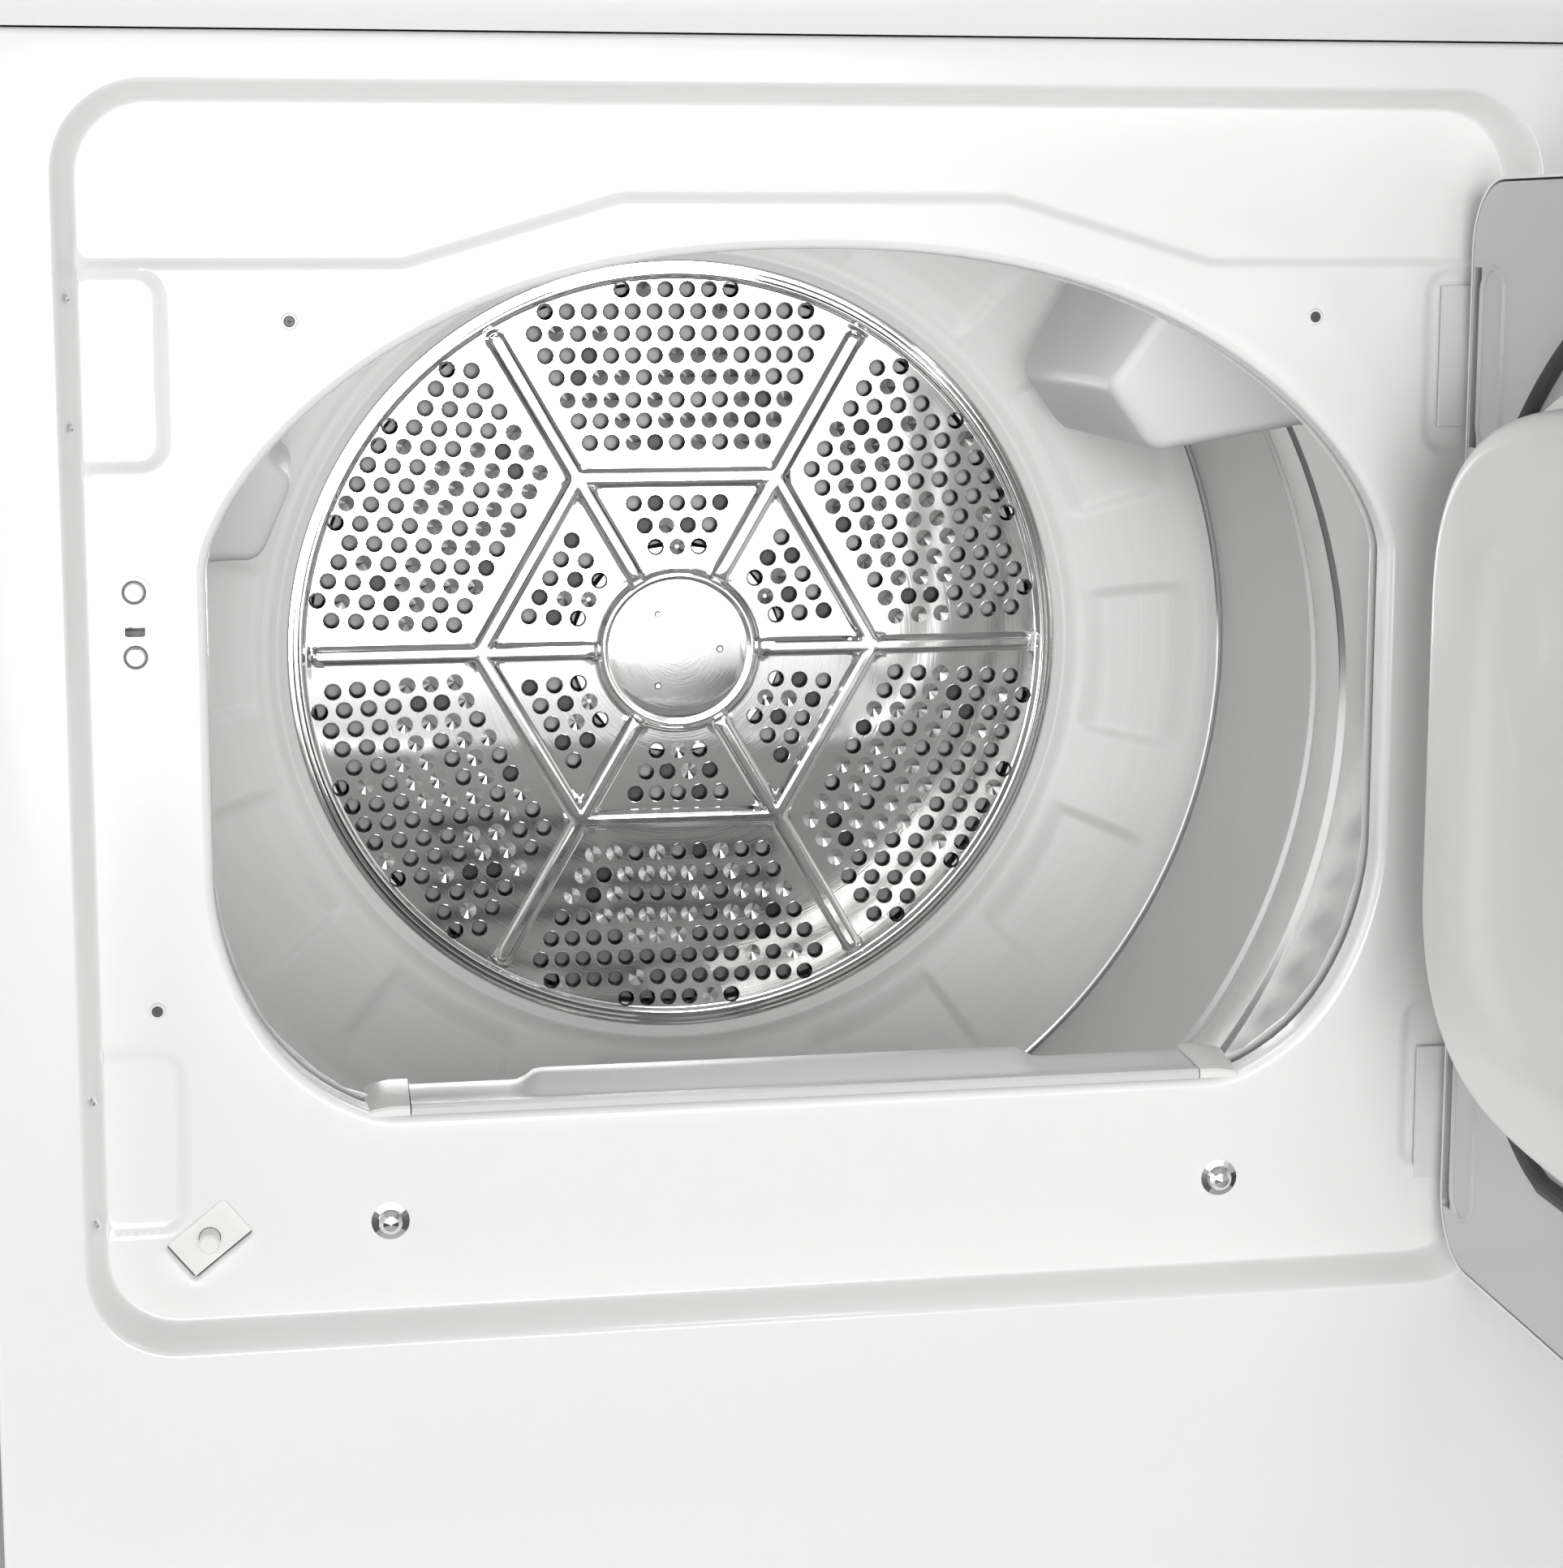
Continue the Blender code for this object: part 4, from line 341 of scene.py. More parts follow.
@dataclass(frozen=True)
class Fibrous(Finish):
    """Pressed felt, with short fibres lying every way."""

    def dress(self, graph: Graph) -> None:
        """Matted fibres in colour and height."""
        matted = graph.noise(graph.coordinates(scale=(1.0, 0.35, 1.0)), 1400.0, 4.0)
        graph.feed(graph.shader.inputs["Base Color"], graph.blend(matted, self.darker(0.7), self.colour))
        graph.bump(matted, 0.0006)


@dataclass(frozen=True)
class Woven(Finish):
    """A fine screen, woven square."""

    pitch: float = 0.0011

    def dress(self, graph: Graph) -> None:
        """Threads along X and along Z, with the gaps dark."""
        place = graph.coordinates()
        waves = [
            graph.node(
                "ShaderNodeTexWave",
                {"bands_direction": direction},
                {"Vector": place, "Scale": 1 / self.pitch / 20 * 2 * pi, "Distortion": 0.0},
                1,
            )
            for direction in ("X", "Z")
        ]
        threads = graph.node("ShaderNodeMath", {"operation": "MAXIMUM"}, {0: waves[0], 1: waves[1]})
        graph.feed(graph.shader.inputs["Base Color"], graph.blend(threads, self.darker(0.2), self.colour))
        graph.bump(threads, 0.0003)


ENAMEL = Enamel("white_enamel", "enamel", (0.86, 0.86, 0.855), 0.22, coat=0.3)
GALVANISED = Spangled("galvanised_sheet", "galvanised", (0.50, 0.52, 0.53), 0.42, 0.85)
DRUM_WALL = Burnished("satin_drum_wall", "drum_wall", (0.72, 0.72, 0.715), 0.36, 0.5)
DRUM_CONE = Brushed("coated_drum_cone", "drum_cone", (0.80, 0.80, 0.795), 0.42, 0.0, streak=0.04)
POLISHED = Brushed("polished_disc_steel", "polished_disc", (0.90, 0.90, 0.895), 0.07, 1.0, streak=0.02)
# Painted shade: the funnels are the disc's own polished steel, given a darker colour to stand in for the
# shade inside the holes.
SHADED_FUNNEL_STEEL = Brushed("shade_painted_funnel_steel", "polished_disc", (0.66, 0.66, 0.655), 0.10, 1.0, streak=0.02)
BAFFLE = Moulded("grey_baffle_plastic", "baffle", (0.66, 0.66, 0.66), 0.34)
WHITE_PLASTIC = Moulded("white_moulding", "white_plastic", (0.84, 0.84, 0.83), 0.30, coat=0.1)
CONTROL_GREY = Moulded("grey_control_plastic", "control_plastic", (0.42, 0.43, 0.44), 0.35)
DUCT_GREY = Moulded("grey_duct_plastic", "duct_plastic", (0.30, 0.31, 0.32), 0.5)
# Real black mouldings, and also black used as painted shade in the screw sockets and behind some of the
# disc's holes.
BLACK_PLASTIC_AND_SHADE = Moulded("black_moulding_and_painted_shade", "black_plastic", (0.03, 0.03, 0.03), 0.45)
FILTER_GREY = Moulded("pale_filter_plastic", "filter_frame", (0.66, 0.66, 0.66), 0.34)
SCREEN = Woven("lint_screen", "filter_mesh", (0.32, 0.32, 0.33), 0.6)
GASKET = Moulded("dark_gasket_rubber", "gasket", (0.055, 0.055, 0.055), 0.6, grain=0.00008)
FELT = Fibrous("pressed_felt", "felt", (0.62, 0.61, 0.58), 0.95)
BELT = Moulded("black_belt_rubber", "belt", (0.02, 0.02, 0.02), 0.7, grain=0.0001)
FOOT_RUBBER = Moulded("black_foot_rubber", "feet", (0.05, 0.05, 0.05), 0.75, grain=0.0001)
STEEL = Brushed("machined_steel", "steel", (0.42, 0.43, 0.44), 0.35, 1.0)
ZINC = Spangled("zinc_plate", "zinc", (0.66, 0.67, 0.68), 0.3, 0.95, grains=900.0)
CHROME = Finish("bright_plating", "chrome_trim", (0.86, 0.86, 0.87), 0.08, 1.0)
# Painted shade: the plate behind the disc's holes has the drum cone's coating, given a darker grey to stand
# in for the shade seen through the holes.
SHADED_BACKING = Finish("shade_painted_backing_plate", "drum_cone", (0.38, 0.38, 0.38), 0.5, 0.0)
LEAF_ENAMEL = Enamel("white_leaf_enamel", "zinc", (0.78, 0.78, 0.78), 0.3)
# Painted shade: the door's inner pan and hinge rims are white enamel, given grey to stand in for the shade on
# the door's side face.
SHADED_PAN_ENAMEL = Enamel("shade_painted_pan_enamel", "enamel", (0.56, 0.56, 0.56), 0.34)
# Blackened screw heads, and also painted gap shade: the dark rings round the catch's screw heads.
DARK_SCREW_AND_GAP_SHADE = Finish("blackened_screw_and_gap_shade", "steel", (0.07, 0.07, 0.07), 0.4, 0.6)
MOTOR_CASE = Moulded("cast_motor_case", "motor_case", (0.36, 0.37, 0.38), 0.45, 0.7, grain=0.0002)
WIRE = Finish("resistance_wire", "heating_wire", (0.22, 0.19, 0.17), 0.5, 0.9)

CARRIED_OVER: dict[Finish, str] = {
    ENAMEL: "side_panel_left side_panel_right front_bulkhead door_inner_panel",
    GALVANISED: "base_pan rear_panel terminal_cover heater_housing exhaust_duct motor_bracket"
    " idler_bracket console_rear_cover",
    WHITE_PLASTIC: "drum_glide_left drum_glide_right door_switch_body door_switch_plunger",
    DUCT_GREY: "lint_duct blower_housing idler_wheel cycle_timer",
    BLACK_PLASTIC_AND_SHADE: "terminal_block",
    SCREEN: "lint_filter_mesh",
    FELT: "front_felt_seal",
    BELT: "drive_belt",
    FOOT_RUBBER: "foot_front_left foot_front_right foot_rear_left foot_rear_right",
    STEEL: "drum_shaft motor_shaft rear_bearing idler_arm",
    ZINC: "door_strike",
    LEAF_ENAMEL: "cabinet_hinge_leaf_top cabinet_hinge_leaf_bottom door_hinge_leaf_top"
    " door_hinge_leaf_bottom",
    CHROME: "catch_clip panel_screw_left panel_screw_right",
    MOTOR_CASE: "motor_housing",
    WIRE: "heater_coil",
}


def dress_cad_nodes() -> None:
    """Gives each carried-over node its finish."""
    for finish, names in CARRIED_OVER.items():
        for name in names.split():
            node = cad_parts[name]
            node.data.materials.clear()
            node.data.materials.append(finish.material())


# ---- Mesh helpers -------------------------------------------------------------------------
def thickened(mesh: bpy.types.Mesh, sheet: float) -> bpy.types.Mesh:
    """Gives an open skin a thickness, away from the side it faces.

    Args:
        mesh: The skin, which is used up.
        sheet: The thickness.

    Returns:
        The closed sheet.
    """
    carrier = bpy.data.objects.new("skin", mesh)
    bpy.context.scene.collection.objects.link(carrier)
    skin = carrier.modifiers.new("Sheet", "SOLIDIFY")
    skin.thickness = sheet
    skin.offset = -1.0
    graph = bpy.context.evaluated_depsgraph_get()
    made = bpy.data.meshes.new_from_object(carrier.evaluated_get(graph))
    made.name = mesh.name
    bpy.data.objects.remove(carrier)
    bpy.data.meshes.remove(mesh)
    made.materials.clear()
    return made


def piece(
    name: str,
    bm: bmesh.types.BMesh,
    finish: Finish,
    body: Body,
    replaced: Sequence[str] = (),
    sheet: float = 0.0,
    crease: float = 32.0,
    matrix: Matrix | None = None,
) -> bpy.types.Object:
    """Turns a bmesh into a finished piece that rides on a body.

    Args:
        name: The piece's name.
        bm: Its surface, which is used up.
        finish: What it is made of.
        body: What it moves with.
        replaced: The CAD nodes that it stands for.
        sheet: Thickness to give an open skin, away from the side it faces.
        crease: Edges sharper than this many degrees stay sharp.
        matrix: Where to move the finished surface, if anywhere.

    Returns:
        The piece.
    """
    if matrix is not None:
        bmesh.ops.transform(bm, matrix=matrix, verts=bm.verts)
    mesh = bpy.data.meshes.new(name)
    bm.to_mesh(mesh)
    bm.free()
    if sheet:
        mesh = thickened(mesh, sheet)
    mesh.shade_smooth()
    mesh.set_sharp_from_angle(angle=radians(crease))
    obj = bpy.data.objects.new(name, mesh)
    bpy.context.scene.collection.objects.link(obj)
    mesh.materials.append(finish.material())
    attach(obj, body.value)
    if replaced:
        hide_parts(*replaced)
    LOG.info("%s: %d faces", name, len(mesh.polygons))
    return obj


def ramp(value: float, low: float, high: float) -> float:
    """0 at low, 1 at high, and smooth in between."""
    share = min(1.0, max(0.0, (value - low) / (high - low)))
    return share * share * share * (share * (share * 6 - 15) + 10)


def rounded_box(half: Flat, radius: float, steps: int = 8, centre: Flat = (0.0, 0.0)) -> list[Flat]:
    """A rounded rectangle about a centre, anticlockwise."""
    outline = []
    for quarter, (sx, sz) in enumerate(((1, 1), (-1, 1), (-1, -1), (1, -1))):
        for i in range(steps + 1):
            angle = pi / 2 * (quarter + i / steps)
            x = centre[0] + sx * (half[0] - radius) + radius * cos(angle)
            outline.append((x, centre[1] + sz * (half[1] - radius) + radius * sin(angle)))
    return outline


def box_distance(x: float, z: float, half: Flat, radius: float, centre: Flat = (0.0, 0.0)) -> float:
    """Distance outside a rounded rectangle, negative inside it."""
    dx = abs(x - centre[0]) - half[0] + radius
    dz = abs(z - centre[1]) - half[1] + radius
    return hypot(max(dx, 0.0), max(dz, 0.0)) + min(max(dx, dz), 0.0) - radius


def segment_distance(x: float, z: float, a: Flat, b: Flat) -> float:
    """Distance from a point to a segment."""
    ax, az, bx, bz = *a, *b
    dx, dz = bx - ax, bz - az
    share = min(1.0, max(0.0, ((x - ax) * dx + (z - az) * dz) / (dx * dx + dz * dz)))
    return hypot(x - ax - share * dx, z - az - share * dz)


def inside(x: float, z: float, outline: Sequence[Flat]) -> bool:
    """Whether a point is inside a closed outline."""
    found = False
    for (ax, az), (bx, bz) in zip(outline, [*outline[1:], outline[0]]):
        if (az > z) != (bz > z) and x < (bx - ax) * (z - az) / (bz - az) + ax:
            found = not found
    return found


def grown(outline: Sequence[Flat], amount: float) -> list[Flat]:
    """An anticlockwise outline moved outward along its own normals."""
    moved = []
    count = len(outline)
    for i, (x, z) in enumerate(outline):
        (ax, az), (bx, bz) = outline[i - 1], outline[(i + 1) % count]
        length = hypot(bx - ax, bz - az)
        moved.append((x + amount * (bz - az) / length, z - amount * (bx - ax) / length))
    return moved


def evenly(outline: Sequence[Flat], spacing: float) -> list[Flat]:
    """The same closed outline with points an equal way apart."""
    ends = [*outline, outline[0]]
    lengths = [hypot(b[0] - a[0], b[1] - a[1]) for a, b in zip(ends, ends[1:])]
    total = sum(lengths)
    count = ceil(total / spacing)
    points, walked, k = [], 0.0, 0
    for i in range(count):
        target = total * i / count
        while walked + lengths[k] < target:
            walked += lengths[k]
            k += 1
        share = (target - walked) / lengths[k]
        (ax, az), (bx, bz) = ends[k], ends[k + 1]
        points.append((ax + (bx - ax) * share, az + (bz - az) * share))
    return points


def arched(
    half: float,
    crown: float,
    shoulder: float,
    upper: Flat,
    haunch: float,
    sag: float,
    lower: Flat,
    sill: float,
) -> list[Flat]:
    """An arch over a flat sill, symmetric about X = 0, as two superellipse ends.

    Args:
        half: Half its width.
        crown: The arch's rise.
        shoulder: The rise where the arch starts.
        upper: The arch's pair of exponents.
        haunch: The rise where the lower end starts.
        sag: How far the lower end falls before the sill cuts it off.
        lower: The lower end's pair of exponents.
        sill: The sill's rise.

    Returns:
        (x, rise) points, anticlockwise.
    """
    steps = 32
    shares = [sin(pi / 2 * i / steps) for i in range(steps + 1)]
    top = [(half * s, shoulder + (crown - shoulder) * (1 - s ** upper[0]) ** (1 / upper[1])) for s in shares]
    bottom = [(half * s, max(sill, haunch - sag * (1 - s ** lower[0]) ** (1 / lower[1]))) for s in shares]
    right = bottom + top[::-1]
    return right + [(-x, z) for x, z in right[::-1] if x > 1e-9]


def circle(radius: float, count: int, centre: Flat = (0.0, 0.0)) -> list[Flat]:
    """Points round a circle."""
    turns = [2 * pi * i / count for i in range(count)]
    return [(centre[0] + radius * cos(turn), centre[1] + radius * sin(turn)) for turn in turns]


def quarter_round(steps: int) -> list[Flat]:
    """A rounded edge of radius 1: how far in from one side, and how far from the other."""
    turns = [pi / 2 * i / steps for i in range(steps + 1)]
    return [(1 - cos(turn), 1 - sin(turn)) for turn in turns]


def stood(outline: Iterable[Flat], y: float) -> list[Vector]:
    """An (x, rise) outline at a depth behind the cabinet's front."""
    return [DATUM.place(x, y, z) for x, z in outline]


def middle(name: str) -> Flat:
    """The (x, rise) middle of a CAD node."""
    low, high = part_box(name)
    return (low.x + high.x) / 2, (low.z + high.z) / 2 - DATUM.axis


def loft(
    loops: Sequence[Sequence[Vector]], cap_last: bool = False, cap_first: bool = False
) -> bmesh.types.BMesh:
    """Bands between closed loops of equal count, with capped ends if asked."""
    bm = bmesh.new()
    rings = [[bm.verts.new(point) for point in loop] for loop in loops]
    for ring, following in zip(rings, rings[1:]):
        for i in range(len(ring)):
            j = (i + 1) % len(ring)
            bm.faces.new((ring[i], ring[j], following[j], following[i]))
    if cap_last:
        bm.faces.new(rings[-1])
    if cap_first:
        bm.faces.new(rings[0][::-1])
    return bm


def face_towards(bm: bmesh.types.BMesh, direction: Vector) -> bmesh.types.BMesh:
    """Turns an open skin so that it faces a direction on the whole."""
    bmesh.ops.recalc_face_normals(bm, faces=bm.faces)
    if sum((face.normal * face.calc_area() for face in bm.faces), Vector()).dot(direction) < 0:
        bmesh.ops.reverse_faces(bm, faces=bm.faces)
    return bm


def closed(loops: Sequence[Sequence[Vector]]) -> bmesh.types.BMesh:
    """A closed solid between the first loop and the last."""
    bm = loft(loops, cap_last=True, cap_first=True)
    bmesh.ops.recalc_face_normals(bm, faces=bm.faces)
    return bm


def sealed(loops: Sequence[Sequence[Vector]]) -> bmesh.types.BMesh:
    """A closed ring, whose last loop is its first again."""
    bm = loft(loops)
    bmesh.ops.remove_doubles(bm, verts=bm.verts, dist=1e-6)
    bmesh.ops.recalc_face_normals(bm, faces=bm.faces)
    return bm


def turned(
    profile: Sequence[Flat], steps: int = 96, ripple: Callable[[float, float], Flat] | None = None
) -> bmesh.types.BMesh:
    """A closed profile of (radius, y) points turned about the drum's axis.

    Args:
        profile: The points, in order round the section.
        steps: Points round the axis.
        ripple: Gives the change in (radius, y) at (angle, radius).

    Returns:
        The closed surface, facing out.
    """
    bm = bmesh.new()
    rings = []
    for radius, y in profile:
        if radius < 1e-9:
            rings.append([bm.verts.new(DATUM.place(0, y, 0))] * steps)
            continue
        ring = []
        for i in range(steps):
            angle = 2 * pi * i / steps
            dr, dy = ripple(angle, radius) if ripple else (0.0, 0.0)
            x, z = (radius + dr) * cos(angle), (radius + dr) * sin(angle)
            ring.append(bm.verts.new(DATUM.place(x, y + dy, z)))
        rings.append(ring)
    for ring, following in zip(rings, [*rings[1:], rings[0]]):
        for i in range(steps):
            j = (i + 1) % steps
            corners = list(dict.fromkeys((ring[i], ring[j], following[j], following[i])))
            if len(corners) > 2:
                bm.faces.new(corners)
    bmesh.ops.recalc_face_normals(bm, faces=bm.faces)
    return bm


def pressed(
    points: Iterable[Flat],
    loops: Sequence[Sequence[Flat]],
    keep: Callable[[float, float], bool],
    height: Height,
) -> bmesh.types.BMesh:
    """A sheet over (x, rise) points, pressed to a depth behind the cabinet's front.

    Args:
        points: Loose points of the sheet.
        loops: Closed outlines that its edges follow.
        keep: Whether the sheet has metal at a point.
        height: The sheet's y at a point.

    Returns:
        The sheet, facing the front.
    """
    flat = [Vector(point) for point in points]
    edges = []
    for loop in loops:
        start = len(flat)
        flat += [Vector(point) for point in loop]
        edges += [(start + i, start + (i + 1) % len(loop)) for i in range(len(loop))]
    verts, _, faces, _, _, _ = delaunay_2d_cdt(flat, edges, [], 0, 1e-7)
    bm = bmesh.new()
    made = [bm.verts.new(DATUM.place(v.x, height(v.x, v.y), v.y)) for v in verts]
    for face in faces:
        x = sum(verts[i].x for i in face) / len(face)
        z = sum(verts[i].y for i in face) / len(face)
        if keep(x, z):
            bm.faces.new([made[i] for i in face])
    bmesh.ops.delete(bm, geom=[v for v in bm.verts if not v.link_faces], context="VERTS")
    return face_towards(bm, FORWARD)


def lattice(low: Flat, high: Flat, pitch: float, wanted: Callable[[float, float], bool]) -> list[Flat]:
    """The wanted points of a square lattice, every other row half a step over."""
    rows = ceil((high[1] - low[1]) / pitch)
    columns = ceil((high[0] - low[0]) / pitch)
    return [
        (x, z)
        for row in range(rows + 1)
        for column in range(columns + 1)
        for x, z in [(low[0] + (column + 0.5 * (row % 2)) * pitch, low[1] + row * pitch)]
        if x < high[0] and z < high[1] and wanted(x, z)
    ]


def slab(
    outline: Sequence[Flat], holes: Sequence[Sequence[Flat]], front: float, rear: float
) -> bmesh.types.BMesh:
    """A closed plate of an (x, rise) outline with holes, between two depths."""

    def is_plate(x: float, z: float) -> bool:
        """Whether a point is in the outline and in none of its holes."""
        return inside(x, z, outline) and not any(inside(x, z, hole) for hole in holes)

    bm = pressed([], [outline, *holes], is_plate, lambda x, z: front)
    made = bmesh.ops.extrude_face_region(bm, geom=list(bm.faces))["geom"]
    moved = [item for item in made if isinstance(item, bmesh.types.BMVert)]
    bmesh.ops.translate(bm, verts=moved, vec=(0, rear - front, 0))
    bmesh.ops.recalc_face_normals(bm, faces=bm.faces)
    return bm


def block(low: Vector, high: Vector, soft: float = 0.0, segments: int = 2) -> bmesh.types.BMesh:
    """A box between two corners with softened edges."""
    bm = bmesh.new()
    bmesh.ops.create_cube(bm, size=1.0)
    for vert in bm.verts:
        vert.co = Vector([low[i] + (vert.co[i] + 0.5) * (high[i] - low[i]) for i in range(3)])
    if soft:
        bmesh.ops.bevel(bm, geom=bm.edges[:], offset=soft, segments=segments, affect="EDGES", profile=0.5)
    return bm


def merged(parts: Iterable[bmesh.types.BMesh]) -> bmesh.types.BMesh:
    """Several surfaces gathered in one, each still closed by itself."""
    whole = bmesh.new()
    for part in parts:
        held = bpy.data.meshes.new("held")
        part.to_mesh(held)
        part.free()
        whole.from_mesh(held)
        bpy.data.meshes.remove(held)
    return whole


# ---- Copies on points, by Geometry Nodes --------------------------------------------------
class Fill(Enum):
    """Whether a cone's ends are closed."""

    OPEN = "NONE"
    CLOSED = "NGON"


class ConeTree:
    """A Geometry Nodes tree that stands a cone on each vertex of a mesh."""

    def __init__(self, fill: Fill) -> None:
        """Builds the tree, with its sizes as named inputs."""
        self.tree = bpy.data.node_groups.new(f"cones_{fill.name.lower()}", "GeometryNodeTree")
        ports = self.tree.interface
        ports.new_socket("Geometry", in_out="INPUT", socket_type="NodeSocketGeometry")
        ports.new_socket("Sides", in_out="INPUT", socket_type="NodeSocketInt")
        ports.new_socket("Near Radius", in_out="INPUT", socket_type="NodeSocketFloat")
        ports.new_socket("Far Radius", in_out="INPUT", socket_type="NodeSocketFloat")
        ports.new_socket("Depth", in_out="INPUT", socket_type="NodeSocketFloat")
        ports.new_socket("Turn", in_out="INPUT", socket_type="NodeSocketVector")
        ports.new_socket("Finish", in_out="INPUT", socket_type="NodeSocketMaterial")
        ports.new_socket("Geometry", in_out="OUTPUT", socket_type="NodeSocketGeometry")
        start = self.tree.nodes.new("NodeGroupInput").outputs
        cone = self._node("GeometryNodeMeshCone", {"fill_type": fill.value}, {
            "Vertices": start["Sides"], "Radius Bottom": start["Near Radius"],
            "Radius Top": start["Far Radius"], "Depth": start["Depth"]})
        shape = cone["Mesh"]
        if fill is Fill.OPEN:
            shape = self._node("GeometryNodeFlipFaces", {}, {"Mesh": shape})["Mesh"]
        copies = self._node("GeometryNodeInstanceOnPoints", {}, {
            "Points": start["Geometry"], "Instance": shape, "Rotation": start["Turn"]})
        solid = self._node("GeometryNodeRealizeInstances", {}, {"Geometry": copies["Instances"]})
        dressed = self._node("GeometryNodeSetMaterial", {}, {
            "Geometry": solid["Geometry"], "Material": start["Finish"]})
        end = self.tree.nodes.new("NodeGroupOutput")
        self.tree.links.new(dressed["Geometry"], end.inputs["Geometry"])

    def _node(self, kind: str, settings: dict, inputs: dict) -> bpy.types.NodeOutputs:
        """Adds a node, links its inputs, and gives its outputs."""
        made = self.tree.nodes.new(kind)
        for name, value in settings.items():
            setattr(made, name, value)
        for name, socket in inputs.items():
            self.tree.links.new(socket, made.inputs[name])
        return made.outputs

    def copies(
        self,
        points: Sequence[Vector],
        sides: int,
        sizes: tuple[float, float, float],
        turn: Vector,
        finish: Finish,
    ) -> bmesh.types.BMesh:
        """Stands cones on points.

        Args:
            points: Where each cone's near end is.
            sides: Its number of sides.
            sizes: Its radius at the point, its radius at the far end and its length.
            turn: Euler angles that turn its axis from +Z.
            finish: What it is made of.

        Returns:
            All the cones as one surface.
        """
        near, far, depth = sizes
        mesh = bpy.data.meshes.new("places")
        mesh.from_pydata([tuple(point) for point in points], [], [])
        carrier = bpy.data.objects.new("places", mesh)
        bpy.context.scene.collection.objects.link(carrier)
        modifier = carrier.modifiers.new("Copies", "NODES")
        modifier.node_group = self.tree
        values = {"Sides": sides, "Near Radius": near, "Far Radius": far, "Depth": depth,
                  "Turn": tuple(turn), "Finish": finish.material()}
        for item in self.tree.interface.items_tree:
            if item.in_out == "INPUT" and item.name in values:
                modifier[item.identifier] = values[item.name]
        carrier.update_tag()
        graph = bpy.context.evaluated_depsgraph_get()
        made = bpy.data.meshes.new_from_object(carrier.evaluated_get(graph))
        bpy.data.objects.remove(carrier)
        bm = bmesh.new()
        bm.from_mesh(made)
        for face in bm.faces:
            face.material_index = 0
        bpy.data.meshes.remove(made)
        return bm


OPEN_CONES = ConeTree(Fill.OPEN)
CLOSED_CONES = ConeTree(Fill.CLOSED)
INWARD = Vector((-pi / 2, 0, 0))
OUTWARD = Vector((pi / 2, 0, 0))


def studded(
    name: str,
    places: Sequence[Vector],
    sides: int,
    sizes: tuple[float, float, float],
    finish: Finish,
    turn: Vector = OUTWARD,
    body: Body = Body.CABINET,
) -> None:
    """Makes one piece of closed cones, such as screw heads.

    Args:
        name: The piece's name.
        places: Where each cone's near end is.
        sides: Its number of sides.
        sizes: Its radius at the place, its radius at the far end and its length.
        finish: What it is made of.
        turn: Euler angles that turn its axis from +Z.
        body: What it moves with.
    """
    piece(name, CLOSED_CONES.copies(places, sides, sizes, turn, finish), finish, body)


# ---- Front panel --------------------------------------------------------------------------
@dataclass
class Opening:
    """The outline of the drum's opening."""

    half: float = 0.2515
    crown: float = 0.2298
    sill: float = -0.132

    def outline(self, grow: float = 0.0) -> list[Flat]:
        """The opening's outline, or a larger one around it."""
        return arched(self.half + grow, self.crown + grow, 0.100, (2.3, 1.5), -0.030, 0.112 + grow,
                      (6.0, 1.7), self.sill - grow)


